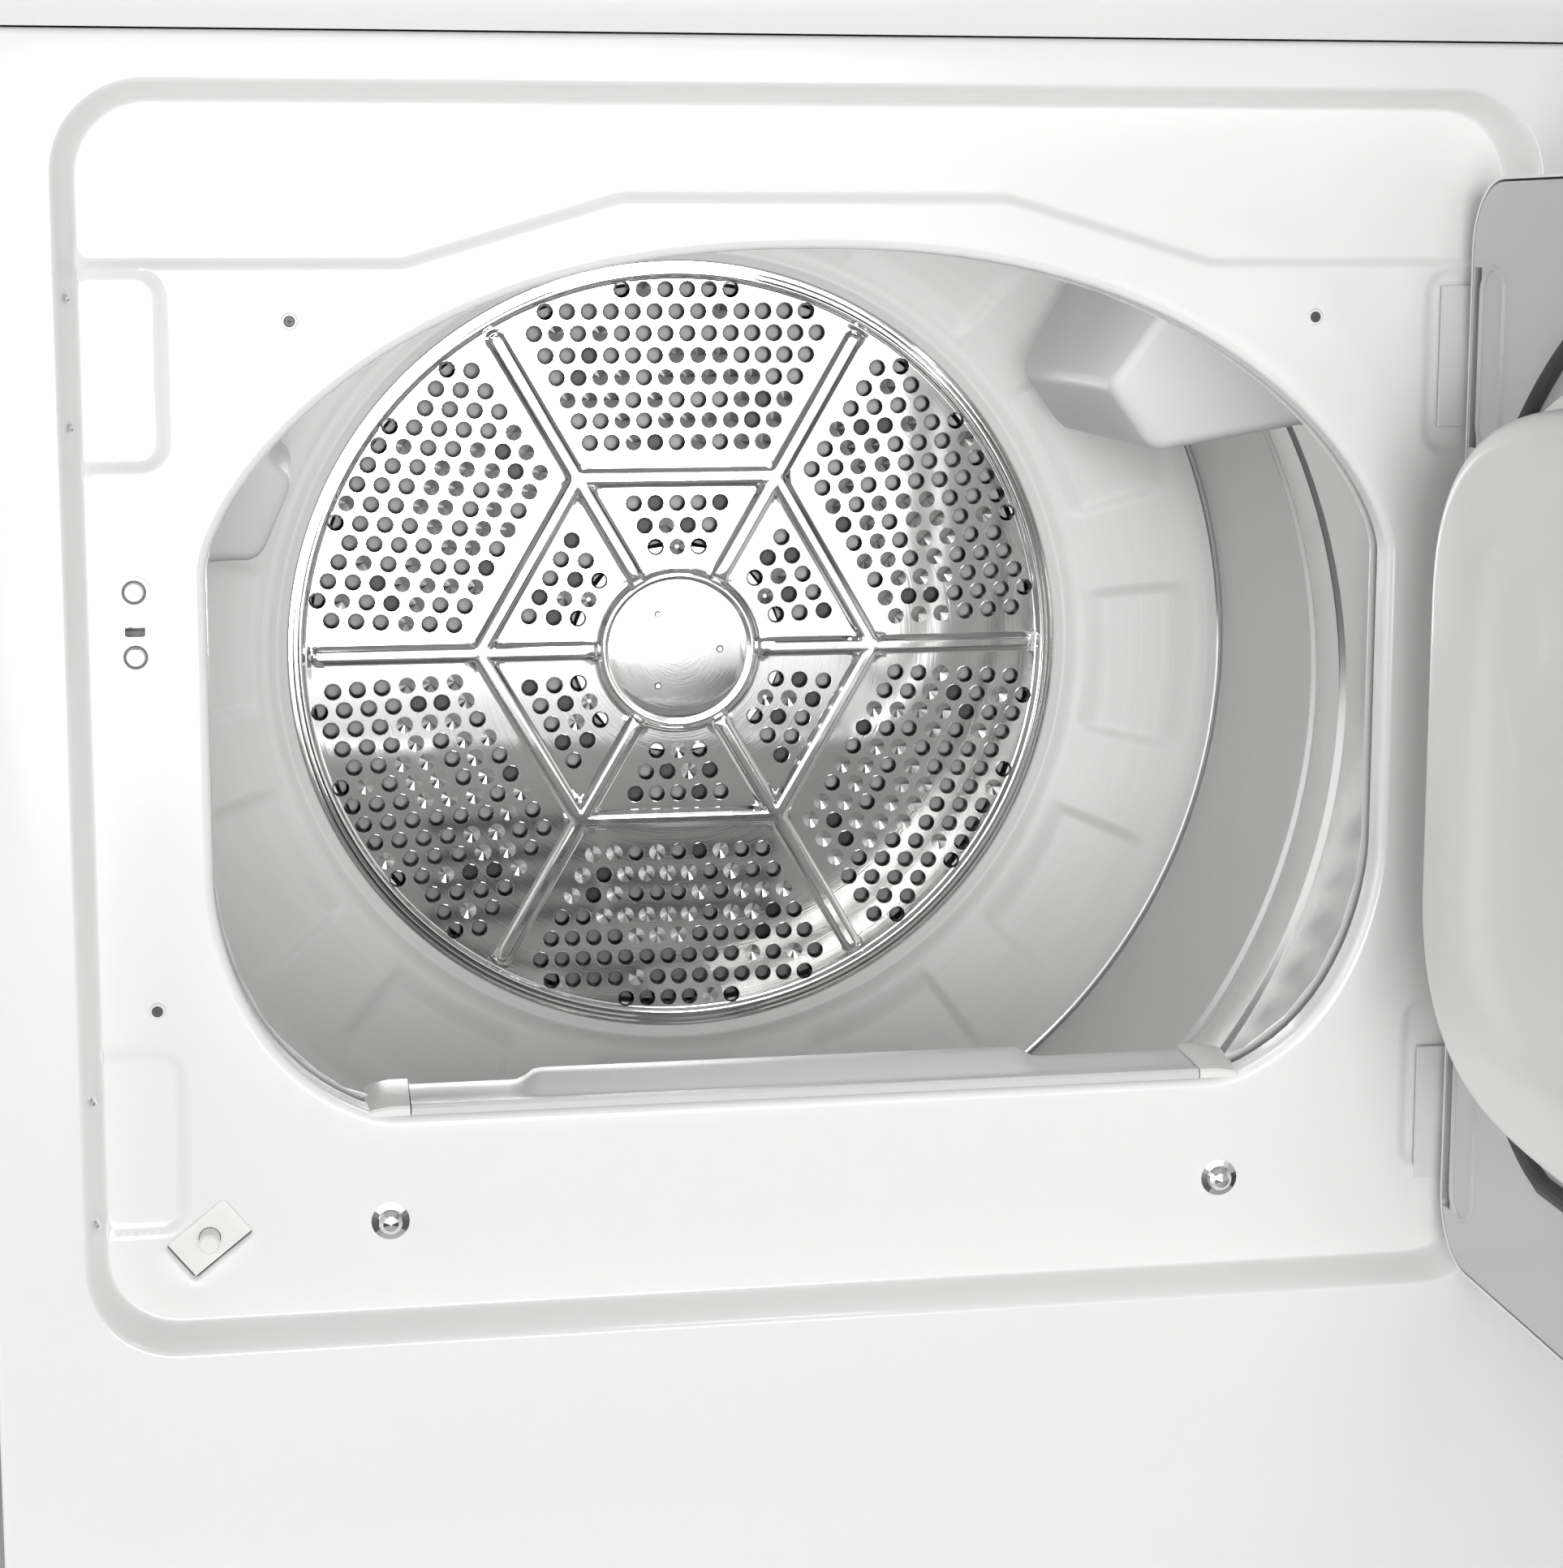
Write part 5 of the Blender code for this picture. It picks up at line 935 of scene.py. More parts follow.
@dataclass
class FrontPanel:
    """The pressed front panel: its recess, hinge pads, step line, opening and pocket."""

    opening: Opening = field(default_factory=Opening)
    floor: float = 0.0212
    deep: float = 0.0024
    recess_half: float = 0.307
    recess_top: float = 0.2966
    recess_bottom: float = -0.2240
    corner: float = 0.038
    run: float = 0.0092
    slope: float = 0.0062
    sheet: float = 0.0012
    flange_rear: float = 0.034
    roll: float = 0.0042
    pad_x: float = 0.2665
    pad_corner: float = 0.010
    pads: tuple[Flat, Flat] = ((0.1427, 0.2205), (-0.1764, -0.1005))
    step_line: tuple[Flat, ...] = ((0.0, 0.2506), (0.081, 0.2506), (0.170, 0.224), (0.330, 0.224))
    pocket: Flat = (0.0157, 0.0096)
    pocket_place: Flat = (-0.257, -0.1815)
    pocket_tilt: float = 38.7
    pocket_rear: float = 0.0262
    catch_hole: Flat = (0.0055, 0.0065)
    catch_screws: Flat = (0.0134, -0.0131)
    small_screws: tuple[Flat, ...] = ((-0.2156, 0.201), (0.2156, 0.201), (-0.2756, -0.082))
    wall_screws: tuple[float, ...] = (0.211, 0.160, -0.116, -0.168)

    def _recess(self) -> tuple[Flat, Flat]:
        """The recess rim's half sizes and centre."""
        half = (self.recess_half, (self.recess_top - self.recess_bottom) / 2)
        return half, (0.0, (self.recess_top + self.recess_bottom) / 2)

    def _pad_boxes(self) -> list[tuple[Flat, Flat]]:
        """Each hinge pad's half sizes and centre, with its outer end past the recess."""
        half = (self.recess_half - self.pad_x + 0.05) / 2
        return [((half, (high - low) / 2), (self.pad_x + half, (low + high) / 2)) for low, high in self.pads]

    def _pad_distance(self, x: float, z: float) -> float:
        """Distance outside the nearest hinge pad."""
        boxes = self._pad_boxes()
        return min(box_distance(abs(x), z, half, self.pad_corner, centre) for half, centre in boxes)

    def _band_distance(self, x: float, z: float) -> float:
        """Distance below the step line, negative above it."""
        near = min(segment_distance(abs(x), z, a, b) for a, b in zip(self.step_line, self.step_line[1:]))
        line = self.step_line[0][1]
        for (ax, az), (bx, bz) in zip(self.step_line, self.step_line[1:]):
            if ax <= abs(x) <= bx:
                line = az + (bz - az) * (abs(x) - ax) / (bx - ax)
        return -near if z > line else near

    def height(self, x: float, z: float) -> float:
        """The panel's depth behind the cabinet's front at a point outside the opening."""
        half, centre = self._recess()
        wall = -box_distance(x, z, half, self.corner, centre)
        if wall <= 0:
            return 0.0
        band = ramp(self._band_distance(x, z), -self.slope / 2, self.slope / 2)
        pad = ramp(self._pad_distance(x, z), -self.slope / 2, self.slope / 2)
        floor = self.floor + self.deep * (1 - min(band, pad))
        return floor * ramp(wall, 0.0, self.run)

    def _pocket_outline(self, grow: float) -> list[Flat]:
        """The door switch's tilted pocket."""
        turn = radians(self.pocket_tilt)
        box = rounded_box((self.pocket[0] + grow, self.pocket[1] + grow), 0.002 + grow)
        return [
            (self.pocket_place[0] + x * cos(turn) - z * sin(turn),
             self.pocket_place[1] + x * sin(turn) + z * cos(turn))
            for x, z in box
        ]

    def _edge(self, inset: float) -> list[Flat]:
        """The panel's outer edge, moved in."""
        bottom, top = DATUM.base - DATUM.axis, DATUM.seam - DATUM.axis
        size = (DATUM.half - inset, (top - bottom) / 2 - inset)
        return evenly(rounded_box(size, 0.004, 4, (0.0, (top + bottom) / 2)), 0.012)

    def _step_points(self, spacing: float = 0.0035) -> list[Flat]:
        """Points along the step line and round the pads, in rows that follow them."""
        points = []
        reach = self.slope / 2 + 0.0006
        rows = [reach * (i / 4 - 1) for i in range(9)]
        for half, centre in self._pad_boxes():
            for row in rows:
                outline = rounded_box((half[0] + row, half[1] + row), self.pad_corner + row, 6, centre)
                for x, z in evenly(outline, spacing):
                    if self._band_distance(x, z) > reach * 0.6:
                        points += [(x, z), (-x, z)]
        for (ax, az), (bx, bz) in zip(self.step_line, self.step_line[1:]):
            length = hypot(bx - ax, bz - az)
            for row in rows:
                for i in range(ceil(length / spacing)):
                    share = (i + 0.5) * spacing / length
                    x = ax + (bx - ax) * share + row * (bz - az) / length
                    z = az + (bz - az) * share - row * (bx - ax) / length
                    points += [(x, z), (-x, z)]
        half, centre = self._recess()
        return [p for p in points if box_distance(*p, half, self.corner, centre) < -self.run - 0.001]

    def _face(self) -> bmesh.types.BMesh:
        """The sheet's face, with its recess, step line and pads, and its three holes."""
        half, centre = self._recess()
        wall = []
        for share in (0, 0.07, 0.14, 0.22, 0.3, 0.4, 0.5, 0.6, 0.7, 0.78, 0.86, 0.93, 1):
            inset = self.run * share
            rim = rounded_box((half[0] - inset, half[1] - inset), self.corner - inset, 14, centre)
            wall.append(evenly(rim, 0.006))
        mouth = self.opening.outline(self.roll)
        catch = rounded_box(self.catch_hole, 0.001, 2, middle("catch_plate"))
        holes = (mouth, self._pocket_outline(0.0016), catch)
        clear_of = (grown(holes[0], 0.004), grown(holes[1], 0.003))

        def is_floor(x: float, z: float) -> bool:
            """Whether a point is on the recess's floor, clear of its wall and holes."""
            far = box_distance(x, z, half, self.corner, centre) < -self.run - 0.004
            return far and not any(inside(x, z, outline) for outline in clear_of)

        low = (-half[0] + self.run, self.recess_bottom + self.run)
        high = (half[0] - self.run, self.recess_top - self.run)
        points = [p for p in self._step_points() if not inside(*p, mouth)]
        points += lattice(low, high, 0.012, is_floor)
        return pressed(points, [self._edge(0.0026), *wall, *holes],
                       lambda x, z: not any(inside(x, z, hole) for hole in holes), self.height)

    def build(self) -> None:
        """Presses the sheet, rolls its opening's edge and sinks the pocket."""
        rolls = [stood(self.opening.outline(self.roll * out), self.floor + self.roll * back)
                 for back, out in quarter_round(6)]
        rolls.append(stood(self.opening.outline(), self.flange_rear))
        sinks = [stood(self._pocket_outline(grow), self.floor + back)
                 for grow, back in ((0.0016, 0.0), (0.0008, 0.0003), (0.0002, 0.0009), (0.0, 0.0016))]
        sinks.append(stood(self._pocket_outline(0.0), self.pocket_rear))
        returns = [stood(self._edge(inset), y)
                   for inset, y in ((0.0026, 0.0), (0.0012, 0.0003), (0.0004, 0.0010), (0.0, 0.0016))]
        count = min(len(loop) for loop in returns)
        whole = merged([self._face(), loft(rolls), loft(sinks), loft([loop[:count] for loop in returns])])
        bmesh.ops.remove_doubles(whole, verts=whole.verts, dist=2e-5)
        face_towards(whole, FORWARD)
        piece("front_panel_pressed", whole, ENAMEL, Body.CABINET, ("front_panel",), self.sheet, 50)

    def dress(self) -> None:
        """Fits the small screws, the wall screws and the catch."""
        small = stood(self.small_screws, self.floor - 0.0002)
        for part, ahead, sides, sizes, finish in (
            ("washers", 0.0, 24, (0.0036, 0.0030, 0.0007), ENAMEL),
            ("heads", 0.0006, 20, (0.0024, 0.0019, 0.0007), DARK_SCREW_AND_GAP_SHADE),
            # Painted shade: black hexagons stand in for the shade in each screw's socket recess.
            ("sockets", 0.0011, 6, (0.0010, 0.0009, 0.0004), BLACK_PLASTIC_AND_SHADE),
        ):
            places = [place + FORWARD * ahead for place in small]
            studded(f"small_screw_{part}", places, sides, sizes, finish)
        wall = self.recess_half - self.run / 2
        sides = [DATUM.place(-wall, self.floor * 0.52, z) for z in self.wall_screws]
        sloped = Vector((0, radians(62), 0))
        studded("wall_screw_heads", sides, 16, (0.0030, 0.0022, 0.0012), CHROME, sloped)
        low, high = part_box("catch_plate")
        x, z = middle("catch_plate")
        half = ((high.x - low.x) / 2, (high.z - low.z) / 2)
        outline = rounded_box(half, half[0] - 1e-4, 8, (x, z))
        slot = rounded_box((0.004, 0.005), 0.001, 2, (x, z))
        front = low.y - DATUM.front
        plate = slab(outline, [slot], front, high.y - DATUM.front)
        piece("catch_plate_moulded", plate, WHITE_PLASTIC, Body.CABINET, ("catch_plate",))
        heads = stood([(x, z + rise) for rise in self.catch_screws], front)
        # Painted shadow: dark rings just behind the catch's screw heads stand in for the shade in the gap
        # round each head.
        rings = [place - FORWARD * 0.0001 for place in heads]
        studded("catch_screw_shadow_rings", rings, 32, (0.0050, 0.0047, 0.0003), DARK_SCREW_AND_GAP_SHADE)
        studded("catch_screw_heads", heads, 24, (0.0042, 0.0032, 0.0013), CHROME)


# ---- Drum ---------------------------------------------------------------------------------
@dataclass
class DrumDisc:
    """The polished, perforated disc at the drum's rear, with its ribs and hub."""

    radius: float = 0.2212
    face: float = 0.4704
    sheet: float = 0.0012
    rib_half: float = 0.0057
    rib_flat: float = 0.0027
    rib_height: float = 0.0050
    hub: float = 0.190
    rib_end: float = 0.922
    hexagon: float = 0.516
    hole: float = 0.0215
    pitch: float = 0.0562
    sides: int = 12
    outer_rows: tuple[tuple[float, int], ...] = (
        (0.929, 6), (0.873, 13), (0.817, 14), (0.761, 13),
        (0.705, 12), (0.647, 11), (0.594, 10), (0.538, 9),
    )
    inner_rows: tuple[tuple[float, int], ...] = ((0.381, 5), (0.323, 4), (0.267, 3))
    grooves: tuple[tuple[float, float, float], ...] = ((0.977, 0.0024, 0.0013), (0.990, 0.0020, 0.0011))

    def _ribs(self) -> list[tuple[Flat, Flat]]:
        """The middle lines of the six radial ribs and the hexagon's sides."""
        lines = []
        for k in range(6):
            angle, following = pi / 3 * k, pi / 3 * (k + 1)
            way = (cos(angle), sin(angle))
            near, far = self.hub * self.radius, self.rib_end * self.radius
            lines.append(((way[0] * near, way[1] * near), (way[0] * far, way[1] * far)))
            corner = self.hexagon * self.radius
            end = (cos(following) * corner, sin(following) * corner)
            lines.append(((way[0] * corner, way[1] * corner), end))
        return lines

    def holes(self) -> list[Flat]:
        """The centres of all perforations."""
        centres = []
        for sector in range(6):
            angle = pi / 6 + pi / 3 * sector
            for distance, count in (*self.outer_rows, *self.inner_rows):
                for i in range(count):
                    u, v = distance * self.radius, (i - (count - 1) / 2) * self.pitch * self.radius
                    centres.append((u * cos(angle) - v * sin(angle), u * sin(angle) + v * cos(angle)))
        return centres

    def height(self, x: float, z: float) -> float:
        """The disc's depth behind the front at a point."""
        share = hypot(x, z) / self.radius
        rib = min(segment_distance(x, z, a, b) for a, b in self._ribs())
        raised = self.rib_height * (1 - ramp(rib, self.rib_flat, self.rib_half))
        if share < self.hub + 0.03:
            ring = abs(share - self.hub - 0.004) * self.radius
            cap = 0.0034 * (1 - ramp(share, self.hub - 0.016, self.hub - 0.002))
            cap += 0.0010 * (1 - (share / self.hub) ** 2)
            raised = max(raised * ramp(share, self.hub, self.hub + 0.03), cap,
                         0.0048 * (1 - ramp(ring, 0.0006, 0.0036)))
        if share > 0.956:
            raised = 0.0030 * ramp(share, 0.958, 0.968) - sum(
                depth * (1 - ramp(abs(share - place) * self.radius, 0.0, half))
                for place, depth, half in self.grooves)
        return self.face - raised

    def _rib_points(self) -> list[Flat]:
        """Points in rows along each rib, as far as no other rib is nearer."""
        lines = self._ribs()
        rows = [self.rib_half * (i / 5 - 1) for i in range(11)]
        rows += [sign * (self.rib_half + extra) for sign in (-1, 1) for extra in (0.0008, 0.0020)]
        points = []
        for index, (a, b) in enumerate(lines):
            length = hypot(b[0] - a[0], b[1] - a[1])
            way = ((b[0] - a[0]) / length, (b[1] - a[1]) / length)
            others = [line for line in lines if line != (a, b)]
            past_end = 4 if index % 2 == 0 else 0
            for row in rows:
                for i in range(ceil(length / 0.003) + past_end):
                    along = i * 0.003
                    if along > length:
                        along = length + (i * 0.003 - length) * 0.5
                    x = a[0] + way[0] * along - way[1] * row
                    z = a[1] + way[1] * along + way[0] * row
                    nearest = min(segment_distance(x, z, *line) for line in others)
                    if 0.236 < hypot(x, z) / self.radius < 0.952 and segment_distance(x, z, a, b) < nearest:
                        points.append((x, z))
        return points

    def build(self) -> None:
        """Presses the disc and sinks its perforations."""
        centres = self.holes()
        size = self.hole * self.radius
        loops = [circle(size, self.sides, centre) for centre in centres]
        hub_shares = [0.10, 0.160, 0.168, 0.176, 0.182, 0.188, 0.194, 0.200, 0.206, 0.212, 0.222, 0.232]
        rim_shares = [0.944, 0.954, 0.958, 0.961, 0.965, 0.968, 0.971, 0.974, 0.977, 0.980, 0.983, 0.985,
                      0.9875, 0.990, 0.9925, 0.995, 1.0]
        loops += [circle(self.radius * share, 180) for share in hub_shares + rim_shares]
        tree = KDTree(len(centres))
        for i, (x, z) in enumerate(centres):
            tree.insert((x, z, 0), i)
        tree.balance()

        def is_metal(x: float, z: float) -> bool:
            """Whether a point is on the disc and in none of its holes."""
            return hypot(x, z) < self.radius and tree.find((x, z, 0))[2] > size * 0.96

        bm = pressed(self._rib_points(), loops, is_metal, self.height)
        piece("drum_disc", bm, POLISHED, Body.DRUM, ("drum_diffuser",), self.sheet, 40)

    def dress(self) -> None:
        """Sets a funnel in each hole, black caps behind some holes as painted shadow, a backing plate behind
        them and rivets on the hub.
        """
        size = self.hole * self.radius
        blind, opened, dark = [], [], []
        for i, (x, z) in enumerate(self.holes()):
            share = hypot(x, z) / self.radius
            chance = (i * 7919 + int(share * 1000) * 104729) % 100 / 100
            place = DATUM.place(x, self.height(x, z) - 0.0001, z)
            blunt = 0.55 if 0.5 < share < 0.78 else 0.12
            (blind if chance < blunt else opened).append(place)
            # Painted shadow: some holes get a black cap behind them so that they look dark with shade.
            if blunt <= chance < blunt + 0.03 or share < 0.45 and chance > 0.80:
                dark.append(place - FORWARD * 0.0050)
        for name, places, far, depth in (
            ("disc_open_funnels", opened, size * 0.70, 0.0030),
            ("disc_blind_funnels", blind, 0.0004, 0.0022),
        ):
            cones = OPEN_CONES.copies(places, self.sides, (size * 1.01, far, depth), INWARD, SHADED_FUNNEL_STEEL)
            piece(name, cones, SHADED_FUNNEL_STEEL, Body.DRUM, sheet=0.0003, crease=10)
        # Painted shadow: black closed cones behind the chosen holes.
        studded("disc_shadow_caps", dark, 10, (size, size, 0.0006), BLACK_PLASTIC_AND_SHADE, INWARD, Body.DRUM)
        # The backing plate's grey is painted shade, seen through the open holes.
        backing = turned([(0.0615, 0.4772), (0.2085, 0.4772), (0.2085, 0.4784), (0.0615, 0.4784)], 96)
        piece("disc_backing", backing, SHADED_BACKING, Body.DRUM)
        rivets = stood(circle(0.108 * self.radius, 3), self.face - 0.0040)
        studded("hub_rivets", rivets, 16, (0.0022, 0.0014, 0.0009), STEEL, body=Body.DRUM)


@dataclass
class Drum:
    """The drum's wall, its rear bowl and its baffles."""

    radius: float = 0.316
    front: float = 0.054
    rear: float = 0.443
    wall: float = 0.0010
    bend: float = 0.006
    beads: tuple[float, float] = (0.243, 0.286)
    bead_rise: float = 0.0042
    lip_radius: float = 0.293
    lip_depth: float = 0.012
    disc_radius: float = 0.2212
    disc_face: float = 0.4704
    panels: int = 12
    panel_depth: float = 0.0026
    baffle_angles: tuple[float, float, float] = (36.0, 156.0, 276.0)
    baffle_sections: tuple[tuple[float, float, float, float], ...] = (
        (0.0500, 0.2050, 0.4280, 0.0), (0.0480, 0.2065, 0.4270, 0.0030), (0.0250, 0.2310, 0.4190, 0.0585),
        (0.0230, 0.2335, 0.4170, 0.0640), (0.0195, 0.2370, 0.4140, 0.0675), (0.0150, 0.2410, 0.4100, 0.0690),
    )

    def _bead(self, y: float) -> float:
        """How far the wall swells outward at a depth."""
        return sum(self.bead_rise * (1 - ramp(abs(y - place), 0.0038, 0.0052)) for place in self.beads)

    def _wall_depths(self) -> list[float]:
        """The depths at which the wall's profile has points, close together round the beads."""
        start, pitch = self.front + 0.012, 0.0128
        even = [start + i * pitch for i in range(int((self.rear - self.front - 0.014) / pitch))]
        even = [y for y in even if min(abs(y - place) for place in self.beads) > 0.0066]
        steps = (-0.0060, -0.0052, -0.0048, -0.0042, -0.0038, 0.0, 0.0038, 0.0042, 0.0048, 0.0052, 0.0060)
        return sorted(even + [place + step for place in self.beads for step in steps])

    def build(self) -> None:
        """Turns the wall and the bowl, and fits the baffles."""
        lip, soft, bend, wall = self.lip_radius, 0.003, self.bend, self.wall
        inner = [(lip, self.front + self.lip_depth), (lip, self.front + soft)]
        inner += [(lip + soft * out, self.front + soft * back) for out, back in quarter_round(4)]
        outer = [(self.radius - bend * back, self.front + bend * out) for out, back in quarter_round(6)]
        barrel = [(self.radius + self._bead(y), y) for y in self._wall_depths()] + [(self.radius, self.rear)]
        back = [(r + wall, y + (wall if y < self.front + 0.003 else 0)) for r, y in barrel[::-1]]
        tuck = [(self.radius + wall, self.front + bend), (self.radius - bend, self.front + wall),
                (lip + soft, self.front + wall), (lip + wall, self.front + 0.004),
                (lip + wall, self.front + self.lip_depth)]
        skin = turned(inner + outer + barrel + back + tuck, 144)
        piece("drum_wall", skin, DRUM_WALL, Body.DRUM, ("drum_shell",))
        self._build_bowl()
        ring = circle(0.0015, 8, (self.radius - 0.0022, self.rear - 0.0004))
        piece("drum_seam_bead", turned(ring, 144), CHROME, Body.DRUM)
        for number, angle in enumerate(self.baffle_angles, 1):
            self._build_baffle(f"drum_baffle_{number}", radians(angle))

    def _panel_sink(self, angle: float, radius: float) -> Flat:
        """How far the bowl's shallow pressed panels move a point, in radius and in depth."""
        turn = 2 * pi / self.panels
        offset = abs((angle + 0.31) % turn - turn / 2)
        across = 1 - ramp(offset, turn * 0.30, turn * 0.30 + 0.0045 * 0.28 / radius)
        along = ramp(radius, 0.243, 0.249) * (1 - ramp(radius, 0.289, 0.296))
        return 0.0, self.panel_depth * across * along

    def _build_bowl(self) -> None:
        """The stepped ring between the wall and the disc."""
        edge, rim = self.disc_radius + 0.0004, self.radius + self.wall
        start, seat = self.rear + 0.0004, self.disc_face + 0.0020
        front = [(rim, start), (self.radius - 0.0010, start), (self.radius - 0.0035, start - 0.0022),
                 (self.radius - 0.0060, start + 0.0004)]
        run_r, run_y = self.radius - 0.0080, start + 0.0020
        end_r, end_y = edge + 0.010, self.disc_face - 0.0052
        for i in range(15):
            share = i / 14
            front.append((run_r + (end_r - run_r) * share, run_y + (end_y - run_y) * share))
        front += [(edge + 0.0070, end_y - 0.0018), (edge + 0.0045, end_y - 0.0012),
                  (edge + 0.0032, end_y + 0.0012), (edge + 0.0012, end_y + 0.0018),
                  (edge, end_y + 0.0034), (edge, seat), (edge - 0.011, seat)]
        back = [(r + 0.0005, y + 0.0013) for r, y in front[:0:-1]]
        back[-1] = (rim, start + 0.0024)
        back[0] = (edge - 0.011, seat + 0.001)
        bowl = turned(front + back, 576, self._panel_sink)
        piece("drum_bowl", bowl, DRUM_CONE, Body.DRUM, ("drum_back_ring",), crease=60)

    def _build_baffle(self, name: str, angle: float) -> None:
        """A crisp-edged wedge, from a wide foot on the wall to a narrow ridge."""
        wall = self.radius - 0.0012
        loops = []
        for half, low, high, lift in self.baffle_sections:
            corner = min(half * 0.3, 0.0065)
            loop = []
            for x, y in rounded_box((half, (high - low) / 2), corner, 5, (0.0, (low + high) / 2)):
                reach = (wall ** 2 - x ** 2) ** 0.5 - lift
                across, up = reach * cos(angle) - x * sin(angle), reach * sin(angle) + x * cos(angle)
                loop.append(DATUM.place(across, y, up))
            loops.append(loop)
        piece(f"{name}_moulded", closed(loops), BAFFLE, Body.DRUM, (name,), crease=34)


# ---- Lint filter --------------------------------------------------------------------------
@dataclass
class LintFilter:
    """The filter's frame and its handle along the sill, with the fixed ends beside it."""

    sill: float = -0.132
    handle_half: float = 0.172
    front: float = 0.0223
    rear: float = 0.0565
    thickness: float = 0.004
    arch: float = 0.0050
    arch_half: float = 0.105
    half: float = 0.150
    height: float = 0.198
    windows: int = 3
    clearance: float = 0.0003
    end: float = 0.1915

    def _section(self, x: float) -> list[Vector]:
        """The handle's section at x, as a loop in Y and rise."""
        lift = self.arch * (1 - ramp(abs(x + 0.01), self.arch_half, self.arch_half + 0.012))
        low, top = self.sill + 0.0003, self.sill + 0.0003 + self.thickness
        section = [(self.front, low), (self.front, top - 0.0012), (self.front + 0.0012, top),
                   (self.front + 0.004, top + 0.0002), (self.front + 0.007, top - 0.0006),
                   (self.front + 0.012, top + 0.0002 + lift * 0.3), (self.rear - 0.010, top + lift * 0.9),
                   (self.rear - 0.002, top + lift), (self.rear, top - 0.001 + lift), (self.rear, low)]
        return [DATUM.place(x, y, z) for y, z in section]

    def build(self) -> None:
        """Makes the handle and frame as one moulding."""
        steps = 96
        xs = [-self.handle_half + 2 * self.handle_half * i / steps for i in range(steps + 1)]
        handle = closed([self._section(x) for x in xs])
        low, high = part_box("lint_filter_mesh")
        front, rear = low.y - DATUM.front - 0.0038, high.y - DATUM.front + 0.0038
        seat = low.y - DATUM.front - 0.0002
        bottom, top = self.sill - self.height, self.sill + 0.0006
        outline = rounded_box((self.half, (top - bottom) / 2), 0.006, 4, (0.0, (top + bottom) / 2))
        base, head = low.z - DATUM.axis - self.clearance, high.z - DATUM.axis + self.clearance
        width, tall, centre = high.x + self.clearance, (head - base) / 2, (base + head) / 2
        step = width / self.windows
        openings = [rounded_box((step - 0.0015, tall), 0.003, 4, (-width + (2 * k + 1) * step, centre))
                    for k in range(self.windows)]
        rim = rounded_box((width, tall), 0.002, 3, (0.0, centre))
        whole = merged([handle, slab(outline, openings, front, seat), slab(outline, [rim], seat, rear)])
        piece("lint_filter_moulding", whole, FILTER_GREY, Body.FILTER, ("lint_filter_frame",))

    def dress(self) -> None:
        """Adds the fixed mouldings that close the sill at each end of the handle."""
        near, low = self.handle_half + 0.0006, self.sill + 0.0003
        drops = ((near, 0.0), (near + 0.008, 0.0), (self.end - 0.003, 0.0012), (self.end, 0.0028))
        for side, name in ((-1, "left"), (1, "right")):
            loops = []
            for x, drop in drops:
                top = self.sill + 0.0042 - drop
                section = [(self.front, low), (self.front, top - 0.001), (self.front + 0.001, top),
                           (self.rear - 0.004, top + 0.003), (self.rear, top + 0.002), (self.rear, low)]
                loops.append([DATUM.place(side * x, y, z) for y, z in section])
            piece(f"sill_end_{name}", closed(loops), WHITE_PLASTIC, Body.CABINET)


